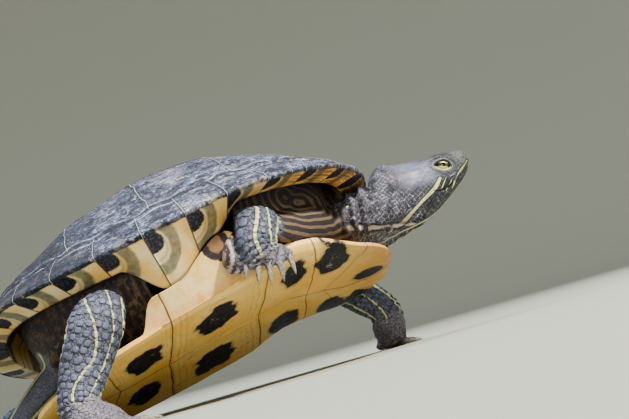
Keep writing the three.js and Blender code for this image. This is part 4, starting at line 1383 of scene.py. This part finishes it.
# pale stripes of the head: lines of x, y, z and half width
headStripes = (
    ((166.4, -13.9, -25.6, 0.8), (160, -14.2, -29.6, 1.2), (151, -14.6, -32.4, 1.0), (142, -13.9, -35.2, 1.1),
     (132, -12.5, -38.1, 1.9), (120, -12.7, -38.9, 1.0)),
    ((174.2, -10.2, -28.1, 0.2), (170.2, -9.7, -30.9, 0.4), (166.5, -9.2, -33.2, 0.2)),
    ((170.5, -12.4, -26.4, 0.2), (166, -12.3, -29.9, 0.35), (162.3, -11.9, -32.2, 0.2)),
    ((190, -5.7, -21.3, 0.7), (184.1, -7.3, -25.2, 1.2), (178.2, -8, -28.3, 0.9), (171.9, -6.6, -32.5, 0.4)),
    ((190, 0, -23.5, 0.4), (178, 0, -32, 0.9), (160, 0, -38.8, 1.2), (140, 0, -40.2, 1.2),
     (112, 0, -39, 1.0)),
)


# pale folds of the throat and the collar, with painted shade beside them: lines of x, y, z and half width
foldBands = (
    ((88.9, -24.1, -24, 1.2), (97, -27.4, -30.4, 1.6), (108, -24, -34.2, 1.8), (118, -20, -36.4, 1.7),
     (130, -10, -38.8, 1.4), (140, -4, -40.4, 0.6)),
    ((94, -27, -17.3, 0.4), (103.4, -30, -19.8, 0.7), (110.6, -30, -21.5, 0.4)),
    ((97, -28, -24, 0.3), (106, -29, -26, 0.6), (116, -26, -28, 0.3)),
    ((26, -80, -17, 0.5), (14, -84, -24, 0.9), (9, -88, -33, 1.0), (14, -90, -41, 0.5)),
    ((26, -82, -22, 0.4), (17, -87, -28, 0.7), (13, -90, -36, 0.7), (18, -91, -41, 0.4)),
    ((10, -80, -28, 0.6), (7, -84, -36, 0.8), (12, -86, -43, 0.5)),
)


def makeSkin():
    # smoothed, refined, sculpted, then marked with attributes
    mesh = buildSkinBase()
    points, edges = meshArrays(mesh)
    limbMask = np.max([nearLimb(points, name, 40) for name in limbs], axis=0)
    points = relax(points, edges, np.where(limbMask | (points[:, 0] > 145), 0.45, 1.0), skinShape["rounds"])
    setPoints(mesh, points)
    nearAny = np.max([nearLimb(points, name, 8) for name in limbs], axis=0)
    within = np.hypot(points[:, 0] / shell["halfLength"], points[:, 1] / shell["halfWidth"])
    mesh = thin(mesh, (within < skinShape["hidden"]) & ~nearAny, skinShape["keep"])
    points, _ = meshArrays(mesh)
    print("thinned skin", len(points))
    refine(mesh, (points[:, 0] > skinShape["fineFrom"]) & (np.abs(points[:, 1]) < 32)
           | nearLimb(points, "fore_right", skinShape["fineLimb"]))
    points, _ = meshArrays(mesh)
    eye = np.hypot(points[:, 0] - eyePlace["centre"][0], points[:, 2] - eyePlace["centre"][2])
    refine(mesh, (eye < skinShape["fineEye"]) & (np.abs(points[:, 1]) > 6))
    points, edges = meshArrays(mesh)
    points = relax(points, edges, np.where(points[:, 0] > 112, 0.5, 0.2), 3)
    setPoints(mesh, points)
    points = sculptHead(points, meshNormals(mesh))
    points = relax(points, edges, np.where(eyeRing(points) < 0.8, 0.5, 0.0) * (points[:, 0] > 160), 3)
    setPoints(mesh, points)
    points = sculptNeck(points, meshNormals(mesh))
    place, stripe, share, footShare, wristAway, onTail = skinFields(points)
    normals = meshNormals(mesh)
    # folds bunch behind each wrist and wrinkle the feet
    folds = 0.7 * np.sin(wristAway * 2 * math.pi / 3.4 + 1.2 * roughNoise(points / 6, 2, 76)) \
        * np.exp(-(wristAway / 6.5) ** 2) * share
    creases = 0.2 * roughNoise(points / 2.2, 2, 77) * footShare * share
    points = points + normals * (folds + creases)[:, None]
    # soles and whatever else reaches the floor lie flat on it
    points = aboveFloor(points)
    head = onRight(points)
    headStripe, foldBand = (
        np.min([lineDistance(head, layOnSkin(line, points, normals)) for line in lines], axis=0)
        for lines in (headStripes, foldBands))
    setPoints(mesh, toWorld(points))
    headShare = smoothStep(128, 142, points[:, 0])
    neckShare = smoothStep(91, 98, points[:, 0] + 2 * roughNoise(points / 5, 2, 78)) \
        * (1 - smoothStep(34, 40, np.abs(points[:, 1])))
    stripes = np.stack([headStripe, stripe, pocketRing(points)], -1)
    shares = np.stack([share, footShare * share, np.maximum(headShare, neckShare)], -1)
    addAttribute(mesh, "stripes", stripes)
    addAttribute(mesh, "limbPlace", place)
    addAttribute(mesh, "shares", shares)
    addAttribute(mesh, "forms", np.stack([eyeRing(points), onTail, wristAway], -1))
    addAttribute(mesh, "foldBand", foldBand)
    return mesh, points, place, shares


skinTones = {
    "dark": srgb(34, 34, 40), "rose": srgb(190, 150, 158), "beakTone": srgb(132, 136, 120),
    "pocketDark": srgb(46, 37, 42), "pocketPale": srgb(118, 98, 76),
    "limbStripe": srgb(206, 206, 150), "limbDark": srgb(30, 31, 40), "limbPale": srgb(150, 156, 178),
}


def wrinkles(place, grain):
    # broken bands running down, as bunched skin has
    x, y, z = place.parts()
    return ((x * 1.5 - z * 0.8 + y * 0.6 + grain * 7).sine() * 0.5 + 0.5).step(0.2, 0.7)


def skinFeeds(first, place):
    # neck, loose skin and limbs, mixed by shares
    tones = skinTones
    stripes, limbPlace = first.attribute("stripes").parts(), first.attribute("limbPlace")
    shares, forms = first.attribute("shares").parts(), first.attribute("forms").parts()
    forms.append(first.number("foldBand"))
    x, y, z = place.parts()
    grain = place.noise(0.9, 4, 0.62)
    broad = place.noise(0.12, 3, 0.55)
    fine = place.noise(2.6, 3, 0.6)
    ragged = (grain - 0.5) * 1.1
    # neck and head: dark slate with crossing families of fine pale lines, smooth over the temple, which
    # carries a painted sheen
    warp = place.noise(0.16, 3, 0.55) * 7.5
    run = x * 0.34 - z * 0.94
    cross = x * 0.93 + z * 0.42
    patchy = place.moved((5.0, 9.0, 2.0)).noise(0.22, 3, 0.6)
    lineOne = ((run * (2 * math.pi / 2.1)) + warp * 1.7 + grain * 2.6).sine().step(0.82, 1.0) \
        * patchy.step(0.42, 0.56)
    lineTwo = ((cross * (2 * math.pi / 2.9)) + warp * 2.1 + grain * 2.2).sine().step(0.86, 1.0) \
        * grain.step(0.36, 0.54)
    net = place.moved(grain * 1.2).cells(0.62)
    netLine = net.step(0.055, 0.015) * fine.step(0.42, 0.55) * 0.5
    lines = (lineOne * broad.step(0.3, 0.55)).high(lineTwo * grain.step(0.36, 0.5)).high(netLine)
    temple = x.step(135, 149) * x.step(176, 162) * (z + x * 0.1).step(-13, -6) * (0.6 + broad * 0.6)
    neckTone = (broad * 0.7 + grain * 0.4).step(0.38, 0.72).mix(srgb(18, 18, 24), srgb(62, 63, 77))
    neckTone = (patchy.step(0.5, 0.7) * fine.step(0.4, 0.6) * 0.4).mix(neckTone, srgb(120, 120, 136))
    neckTone = (lines * (1 - temple) * 0.9 * broad.step(0.25, 0.6)).mix(neckTone, srgb(200, 200, 212))
    slack = first.vector(x * 0.16 + z * 0.1, y * 0.3, z * 0.75 - x * 0.2).noise(1.0, 4, 0.65)
    neckTone = (slack.step(0.55, 0.68) * x.step(136, 122) * 0.7).mix(neckTone, srgb(172, 168, 178))
    # painted sheen: pale blue-grey patches over the temple stand for its reflection
    paintedSheen = place.scaled((0.5, 1, 1)).noise(0.35, 4, 0.6).step(0.3, 0.7) * 0.5 + 0.3
    neckTone = (temple.low(1.0) * paintedSheen).mix(neckTone, srgb(122, 126, 150))
    snout = x.step(158, 180) * z.step(-25, -17)
    headTone = grain.step(0.36, 0.7).mix(srgb(28, 30, 34), srgb(86, 90, 94))
    neckTone = (snout * 0.75).mix(neckTone, headTone)
    crownTone = grain.step(0.4, 0.68).mix(srgb(42, 44, 47), srgb(94, 97, 102))
    neckTone = (z.step(-13, -9) * x.step(150, 166) * 0.6).mix(neckTone, crownTone)
    neckTone = (x.step(176, 188) * (0.35 + grain * 0.5)).mix(neckTone, srgb(40, 44, 54))
    beak = x.step(180, 187) * (z + x * 0.42).step(52, 56)
    neckTone = (beak * grain.step(0.3, 0.62) * 0.55).mix(neckTone, tones["beakTone"])
    jawDark = (z + 25.3 + (184.9 - x) * 0.47).step(0.4, -0.6) * x.step(150, 160)
    cheek = (x.step(138, 152) * (z + 30 - (170 - x) * 0.25).step(4.5, -2.0)).low(1.0)
    neckTone = (cheek * 0.45).mix(neckTone, tones["dark"])
    neckTone = (jawDark * 0.65).mix(neckTone, tones["dark"])
    flecks = place.cells(0.75, "F1").step(0.26, 0.14) * fine.step(0.42, 0.5)
    neckTone = (flecks * jawDark).mix(neckTone, srgb(196, 204, 176))
    rose = ((x - 140) ** 2 + (z + 13.4) ** 2).step(90, 8) * 0.07
    neckTone = rose.mix(neckTone, tones["rose"])
    ring = forms[0] + (grain - 0.5) * 0.35
    onLid = ring.step(5.6, 4.8) * x.step(160, 164)
    lidRidge = abs(ring - 2.15).step(0.5, 0.2) * fine.step(0.3, 0.5)
    lidTone = lidRidge.mix(srgb(28, 30, 32), srgb(136, 142, 138))
    lidTone = (abs(ring - 3.4).step(0.45, 0.15) * 0.75).mix(lidTone, srgb(122, 130, 134))
    lidTone = (abs(ring - 4.4).step(0.4, 0.15) * 0.5).mix(lidTone, srgb(112, 120, 126))
    neckTone = (onLid * 0.9).mix(neckTone, lidTone)
    below = (z + 19.4 + (x - 173.1) * 0.45).step(0.0, -0.8)
    lowerLid = ring.step(1.75, 1.45) * x.step(160, 164) * below
    neckTone = (lowerLid * 0.7).mix(neckTone, srgb(206, 208, 160))
    stripeEdge = stripes[0] + ragged * 0.7
    neckTone = (stripeEdge.step(1.2, 0.5) * 0.85).mix(neckTone, tones["dark"])
    stripeTone = grain.step(0.3, 0.7).mix(srgb(190, 196, 128), srgb(222, 220, 170))
    stripeTone = (x.step(146, 132) * 0.8).mix(stripeTone, srgb(220, 192, 156))
    neckTone = stripeEdge.step(0.15, -0.15).mix(neckTone, stripeTone)
    band = forms[3] + ragged * 2.4
    # painted shade: a dark border round the pale folds stands for the shade in their creases
    neckTone = (band.step(2.6, 1.0) * 0.6).mix(neckTone, srgb(20, 18, 22))
    neckTone = (band.step(0.5, -0.4) * grain.step(0.25, 0.5)).mix(neckTone, srgb(216, 198, 192))
    # loose skin round the limbs: beige rings on dark brown, with painted shade towards the top
    period = pocketMarks["period"]
    wave = (stripes[2] * (2 * math.pi / period) - 0.6).sine()
    ringed = (wave + (grain - 0.5) * 1.2).step(0.1, 0.45)
    pocketTone = ringed.mix(tones["pocketDark"], tones["pocketPale"])
    pocketTone = (fine.step(0.5, 0.7) * 0.4).mix(pocketTone, tones["dark"])
    rear = x.step(-20, -50)
    rearPatches = place.scaled((1, 0.4, 1)).noise(0.3, 3, 0.6).step(0.5, 0.6)
    rearTone = rearPatches.mix(tones["pocketDark"], tones["pocketPale"])
    pocketTone = (rear * 0.9).mix(pocketTone, rearTone)
    # painted shade: the loose skin darkens towards its top, under the shell's rim
    shaded = (z + 8).step(-6, 4)
    pocketTone = (shaded * 0.6).mix(pocketTone, srgb(36, 30, 34))
    cuff = first.vector(x - 13, y + 86, (z + 31) * 0.7).length().step(14, 10) * (1 - shares[0])
    # the pale pinkish folds are the skin's own colour; the dark bands between them are painted shade in the
    # creases
    cuffTone = (wrinkles(place, grain) * 0.85).mix(srgb(78, 66, 72), srgb(206, 190, 190))
    pocketTone = cuff.mix(pocketTone, cuffTone)
    # limbs: dark between pale scales, pale yellow lengthwise stripes, pinkish feet
    limbTone = grain.step(0.35, 0.7).mix(tones["limbDark"], srgb(70, 70, 84))
    wrinkle = limbPlace.moved(grain * 1.4).cells(0.55)
    limbTone = (wrinkle.step(0.04, 0.12) * fine.step(0.3, 0.6) * 0.5).mix(limbTone, tones["limbPale"])
    footTone = (wrinkle.step(0.03, 0.14) * 0.8 + 0.1).mix(srgb(48, 45, 54), srgb(140, 134, 142))
    limbTone = (shares[1] * 0.85).mix(limbTone, footTone)
    limbStripe = stripes[1] + ragged * 0.7
    fade = 1 - shares[1]
    limbTone = (limbStripe.step(0.9, 0.4) * fade * 0.7).mix(limbTone, tones["dark"])
    limbTone = (limbStripe.step(0.2, -0.2) * fade).mix(limbTone, tones["limbStripe"])
    color = shares[2].mix(pocketTone, neckTone)
    color = shares[0].high(forms[1]).mix(color, limbTone)
    height = (net * 0.4 - lines * 0.3) * (1 - temple * 0.85) + grain * 0.22 \
        + wrinkle * 0.35 * shares[0] + fine * 0.1 + ringed * 0.2 * (1 - shares[2]) * (1 - shares[0])
    rough = 0.4 + grain * 0.25 - temple * 0.16
    return {"Base Color": color, "Roughness": rough, "height": height}


skinMesh, skinPoints, skinPlace, skinShares = makeSkin()
skin = bpy.data.objects.new("turtleSkin", skinMesh)
bpy.context.scene.collection.objects.link(skin)
skinMesh.shade_smooth()
fleshNodes = ["trunk", "neck", "head", "jaw", "tail"] + [
    f"{part}_{side}" for side in ("right", "left")
    for part in ("upper_arm", "forearm", "forefoot", "thigh", "shank", "hindfoot")]
skinMaterial = newMaterial("turtleSkin", skinFeeds)
install(skin, skinMaterial, fleshNodes)
print("skin", len(skinMesh.vertices), "points", len(skinMesh.loops) - 2 * len(skinMesh.polygons), "triangles")

# ---- scales of the limbs: rounded plates seated on the skin ----
scaleShape = {
    # spacing along and round in mm, and how much smaller each gets at the foot
    "fore": (3.5, 3.6), "hind": (4.2, 4.4), "footShrink": 0.45, "start": {"fore": 20, "hind": 26},
    "rise": 0.42, "corners": 12, "square": 0.62, "gapShare": 0.86, "sink": 0.25,
    # large plates at the right foreleg's rear edge: body point and size
    "plates": (((32.5, -92, -13), 3.6), ((27, -93, -18), 3.9), ((21.5, -93, -24), 3.7),
               ((19.5, -92, -29.5), 2.9)),
    # radius the plates bend round, and a plate's patch on the unwrap
    "bendRadius": 13, "patch": 0.0015,
}


def limbLattice(name):
    # rows along a limb and places round it, each row shifted a little, jittered
    limb = limbs[name]
    kind = name.split("_")[0]
    spacing = scaleShape[kind]
    rng = np.random.default_rng(11 + len(name))
    end = limb["wrist"] * limb["length"] + 12
    rows, places = [], []
    along = scaleShape["start"][kind]
    while along < end:
        u = np.array([along / limb["length"]])
        a, b = (float(part[0]) for part in runFrame(limb["run"], u)[3:])
        nearFoot = smoothStep(limb["wrist"] - 0.12, limb["wrist"] + 0.1, u[0])
        shrink = 1 - (1 - scaleShape["footShrink"]) * nearFoot
        around = 2 * math.pi * math.sqrt((a * a + b * b) / 2)
        count = int(around / (spacing[1] * shrink))
        angle = (np.arange(count) + 0.5 * rng.random()) * 2 * math.pi / count + rng.normal(0, 0.025, count)
        rows.append(np.stack([along + rng.normal(0, 0.16, count) * spacing[0], angle], -1))
        places.append(np.stack([np.full(count, spacing[0] * shrink), np.full(count, around / count)], -1))
        along += spacing[0] * shrink
    return np.concatenate(rows), np.concatenate(places)


def makeScales(name, points, normals, fields):
    # plates on a lattice, seated on the skin
    limb = limbs[name]
    lattice, sizes = limbLattice(name)
    u = lattice[:, 0] / limb["length"]
    centre, across, over, a, b = runFrame(limb["run"], u)
    cosine, sine = np.cos(lattice[:, 1])[:, None], np.sin(lattice[:, 1])[:, None]
    wanted = centre + across * a[:, None] * cosine + over * b[:, None] * sine
    down = unit(runFrame(limb["run"], np.minimum(u + 0.02, 1))[0] - centre)
    if name == "fore_right":
        big = np.array([point for point, _ in scaleShape["plates"]])
        bigSize = np.array([size for _, size in scaleShape["plates"]])
        clear = np.min(np.linalg.norm(wanted[:, None] - big[None], axis=2) - bigSize[None], axis=1) > 1.3
        wanted, down, sizes = wanted[clear], down[clear], sizes[clear]
        wanted = np.concatenate([wanted, big])
        down = np.concatenate([down, np.tile(unit(np.array([-0.55, 0, -0.8])), (len(big), 1))])
        sizes = np.concatenate([sizes, np.stack([bigSize * 1.9, bigSize * 1.7], -1)])
    local = np.flatnonzero(limbPlaces(points, limb)[3] < 2.2)
    root = local[nearestPoints(points[local], wanted)]
    keep = (np.linalg.norm(points[root] - wanted, axis=1) < 4.5) & (fields["share"][root] > 0.6)
    root, down, sizes = root[keep], down[keep], sizes[keep]
    n = normals[root]
    t = unit(down - n * np.sum(down * n, 1, keepdims=True))
    s = np.cross(n, t)
    # outline: a rounded square; rings sink under the skin, stand at the rim, round over to the middle
    w = np.linspace(0, 2 * math.pi, scaleShape["corners"], endpoint=False)
    shapeX, shapeY = (signedPower(part, scaleShape["square"]) for part in (np.cos(w), np.sin(w)))
    half = sizes * scaleShape["gapShare"] / 2
    grow = np.sqrt(half[:, :1] / 1.6)
    rings = []
    for reach, height in ((0.86, -1.0), (1.0, 0.15), (0.9, 0.75), (0.55, 1.0)):
        lift = np.where(height < 0, -scaleShape["sink"], scaleShape["rise"] * height * grow)
        x, y = half[:, :1] * reach * shapeX[None], half[:, 1:] * reach * shapeY[None]
        bend = -(y ** 2) / (2 * scaleShape["bendRadius"])
        rings.append(points[root][:, None] + t[:, None] * x[..., None] + s[:, None] * y[..., None]
                     + n[:, None] * (lift + bend)[..., None])
    top = points[root] + n * scaleShape["rise"] * 1.02 * grow
    bottom = points[root] - n * (scaleShape["sink"] + 0.3)
    corners = len(w)
    body = np.concatenate([bottom[:, None], *rings, top[:, None]], axis=1)
    per = body.shape[1]
    ring = np.arange(corners)
    following = (ring + 1) % corners
    quads = np.concatenate([np.stack([1 + k * corners + ring, 1 + k * corners + following,
                                      1 + (k + 1) * corners + following, 1 + (k + 1) * corners + ring], -1)
                            for k in range(3)])
    last = 1 + 3 * corners
    fans = np.concatenate([np.stack([0 * ring, 1 + following, 1 + ring], -1),
                           np.stack([last + ring, last + following, 0 * ring + per - 1], -1)])
    shift = (np.arange(len(root)) * per)[:, None, None]
    faces = [(quads[None] + shift).reshape(-1, 4), (fans[None] + shift).reshape(-1, 3)]
    flat = body.reshape(-1, 3)
    owner = np.repeat(root, per)
    # height over the plate, for a paler crown and a dark rim
    crown = np.tile(np.concatenate([[0], np.repeat([0, 0.25, 0.7, 1.0], corners), [1.0]]), len(root))
    stripes = np.stack([0 * crown, skinFields(flat)[1], 0 * crown], -1)
    piece = newPiece(f"scales_{name}", aboveFloor(flat), faces,
                     {"stripes": stripes, "shares": fields["shares"][owner], "crown": crown})
    bakePatches(piece, flat, owner, fields)
    return piece


def bakePatches(piece, flat, owner, fields):
    # each plate has a small patch round its root's place on an unwrap of the skin
    place = fields["unwrap"][owner]
    centre = fields["points"][owner]
    offset = flat - centre
    spread = np.abs(offset).max() + 1e-6
    slanted = offset @ np.array([[0.8, 0], [0.6, 0.6], [0, -0.8]])
    uv = place + slanted / spread * scaleShape["patch"]
    layer = piece.data.uv_layers.new(name="OFBake")
    corner = np.empty(len(piece.data.loops), np.int32)
    piece.data.loops.foreach_get("vertex_index", corner)
    layer.data.foreach_set("uv", np.clip(uv[corner], 0, 1).astype(np.float32).ravel())


def skinUnwrap(place):
    # limbs as strips of angle and length, side by side
    index = np.floor(place[:, 2] / limbStride)
    along = place[:, 2] - index * limbStride
    angle = np.arctan2(place[:, 1], place[:, 0]) / (2 * math.pi) + 0.5
    strips = np.stack([(index + 0.05 + 0.9 * angle) / 4, 0.5 * np.clip(along / 140, 0, 1)], -1)
    return np.clip(strips, 0.002, 0.998)


skinNormals = meshNormals(skinMesh) @ bodyTurn
skinFieldSet = {"points": skinPoints, "unwrap": skinUnwrap(skinPlace), "shares": skinShares,
                "share": skinShares[:, 0]}


def scaleFeeds(first, place):
    # dark rims, pale crowns, pale stripes
    tones = skinTones
    stripes, shares = first.attribute("stripes").parts(), first.attribute("shares").parts()
    crown = first.number("crown")
    grain, fine = place.noise(1.1, 4, 0.65), place.noise(3.2, 3, 0.6)
    broad = place.noise(0.16, 2, 0.5)
    color = (grain * 0.6 + broad * 0.5).step(0.3, 0.75).mix(srgb(46, 48, 60), srgb(92, 98, 120))
    color = (crown.step(0.5, 1.0) * fine.step(0.4, 0.62) * 0.5).mix(color, srgb(136, 142, 164))
    color = (crown.step(0.55, 0.1) * 0.85).mix(color, tones["limbDark"])
    color = (shares[1] * 0.8).mix(color, grain.step(0.3, 0.7).mix(srgb(84, 80, 88), srgb(142, 136, 142)))
    limbStripe = stripes[1] + (grain - 0.5) * 0.6
    color = (limbStripe.step(0.2, -0.2) * (1 - shares[1]) * 0.92).mix(color, tones["limbStripe"])
    return {"Base Color": color, "Roughness": 0.36 + grain * 0.25, "height": grain * 0.2 + fine * 0.08}


scaleMaterial = newMaterial("limbScales", scaleFeeds)
for name in limbs:
    scales = makeScales(name, skinPoints, skinNormals, skinFieldSet)
    scales.data.materials.append(scaleMaterial)
    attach(scales, "root")
    print(scales.name, len(scales.data.polygons))


# ---- claws: tapered horn tubes with a hook ----
clawKeys = ((0, 1.9, 1.8), (0.2, 1.9, 1.8), (0.45, 1.5, 1.5), (0.7, 1.05, 1.1), (0.88, 0.6, 0.62),
            (1, 0.2, 0.2))
clawRoot, clawSteps, clawSides = 2.2, 28, 20


def makeClaw(name, limb, i):
    # an oval tube along the toe's line, dropping with the square of the distance
    foot = limb["foot"]
    _, tip, ahead = toeLine(foot, i)
    keys = []
    for u, a, b in clawKeys:
        drop = -foot["up"] * foot["hook"] * foot["claw"] * u * u
        middle = tip - ahead * clawRoot * (1 - u) + ahead * foot["claw"] * u + drop
        keys.append([middle, (a, b), foot["side"]])
    flat, faces = closedGrid(tubePoints(limbRun(keys), steps=clawSteps, sides=clawSides))
    along = np.linspace(0, 1, clawSteps + 1).repeat(clawSides)
    along = np.concatenate([along, np.full(len(flat) - len(along), 0.5)])
    return newPiece(name, aboveFloor(flat), faces, {"along": along})


def clawFeeds(first, place):
    # grey horn, darker at the root, browner at the tip
    along = first.number("along")
    grain = place.scaled((1, 1, 0.25)).noise(1.6, 4, 0.6)
    color = grain.step(0.3, 0.7).mix(srgb(86, 81, 77), srgb(176, 169, 155))
    color = (along.step(0.35, 0.0) * 0.7).mix(color, srgb(58, 52, 54))
    color = (along.step(0.82, 1.0) * 0.4).mix(color, srgb(120, 108, 98))
    return {"Base Color": color, "Roughness": 0.3 + grain * 0.2, "height": grain * 0.15}


clawMaterial = newMaterial("clawHorn", clawFeeds)
for name, limb in limbs.items():
    for i in range(limb["foot"]["claws"]):
        clawName = f"claw_{name}_{i + 1}"
        install(makeClaw(f"horn_{name}_{i + 1}", limb, i), clawMaterial, [clawName])
print("claws")

# ---- eyes: a ball that swells a little over the iris ----
eyeLook = {"gaze": (-0.1, -1, -0.2), "iris": 3.6, "pupil": 1.3, "bar": 0.95, "tilt": 0.6,
           "inset": 0.12, "cornea": 0.1, "rings": 60, "around": 72}


def makeEye(side):
    # rings about the gaze; the cornea swells a little over the iris
    gaze = unit(np.array(eyeLook["gaze"]) * (1, -side, 1))
    first = unit(np.cross(gaze, (0, 0, 1)))
    second = np.cross(first, gaze)
    polar = np.linspace(0.02, math.pi - 0.02, eyeLook["rings"])[:, None]
    w = np.linspace(0, 2 * math.pi, eyeLook["around"], endpoint=False)[None]
    radius = eyePlace["radius"] - eyeLook["inset"] + eyeLook["cornea"] * bump(polar, 0.5)
    outward = first * np.cos(w)[..., None] + second * np.sin(w)[..., None]
    direction = gaze * np.cos(polar)[..., None] + outward * np.sin(polar)[..., None]
    centre = np.array(eyePlace["centre"]) * (1, side, 1)
    points = centre + direction * radius[..., None]
    flat, faces = closedGrid(points)
    offset = flat - centre
    look = np.stack([offset @ first * side, offset @ second, offset @ gaze], -1)
    return newPiece("eyeball_" + ("left" if side > 0 else "right"), flat, faces, {"look": look})


def eyeFeeds(first, place):
    # x runs forward along the head and y up, in mm from the middle of the gaze
    x, y, _ = first.attribute("look").parts()
    away = (x * x + y * y) ** 0.5
    grain = place.noise(1.5, 4, 0.65)
    streak = first.vector(x / (away + 0.3), y / (away + 0.3), away * 0.25).noise(5.0, 3, 0.6)
    color = streak.step(0.35, 0.65).mix(srgb(150, 148, 84), srgb(212, 208, 140))
    color = away.step(1.4, 2.4).mix(srgb(226, 224, 160), color)
    fromBar = abs(y * math.cos(eyeLook["tilt"]) + x * math.sin(eyeLook["tilt"]))
    bar = fromBar.step(eyeLook["bar"] + 0.25, eyeLook["bar"] - 0.1) \
        * (grain * 0.6 + x.step(3.7, 2.2) * x.step(-3.7, -2.2)).step(0.3, 0.6)
    color = (bar * 0.92).mix(color, srgb(28, 24, 22))
    color = away.step(eyeLook["iris"] - 0.25, eyeLook["iris"] + 0.15).mix(color, srgb(24, 22, 24))
    color = away.step(eyeLook["pupil"] + 0.1, eyeLook["pupil"] - 0.1).mix(color, srgb(4, 4, 5))
    return {"Base Color": color}


eyeMaterial = newMaterial("turtleEye", eyeFeeds, Roughness=0.2, Coat_Weight=0.5, Coat_Roughness=0.02)
for side, name in ((1, "eye_left"), (-1, "eye_right")):
    install(makeEye(side), eyeMaterial, [name])
print("eyes")
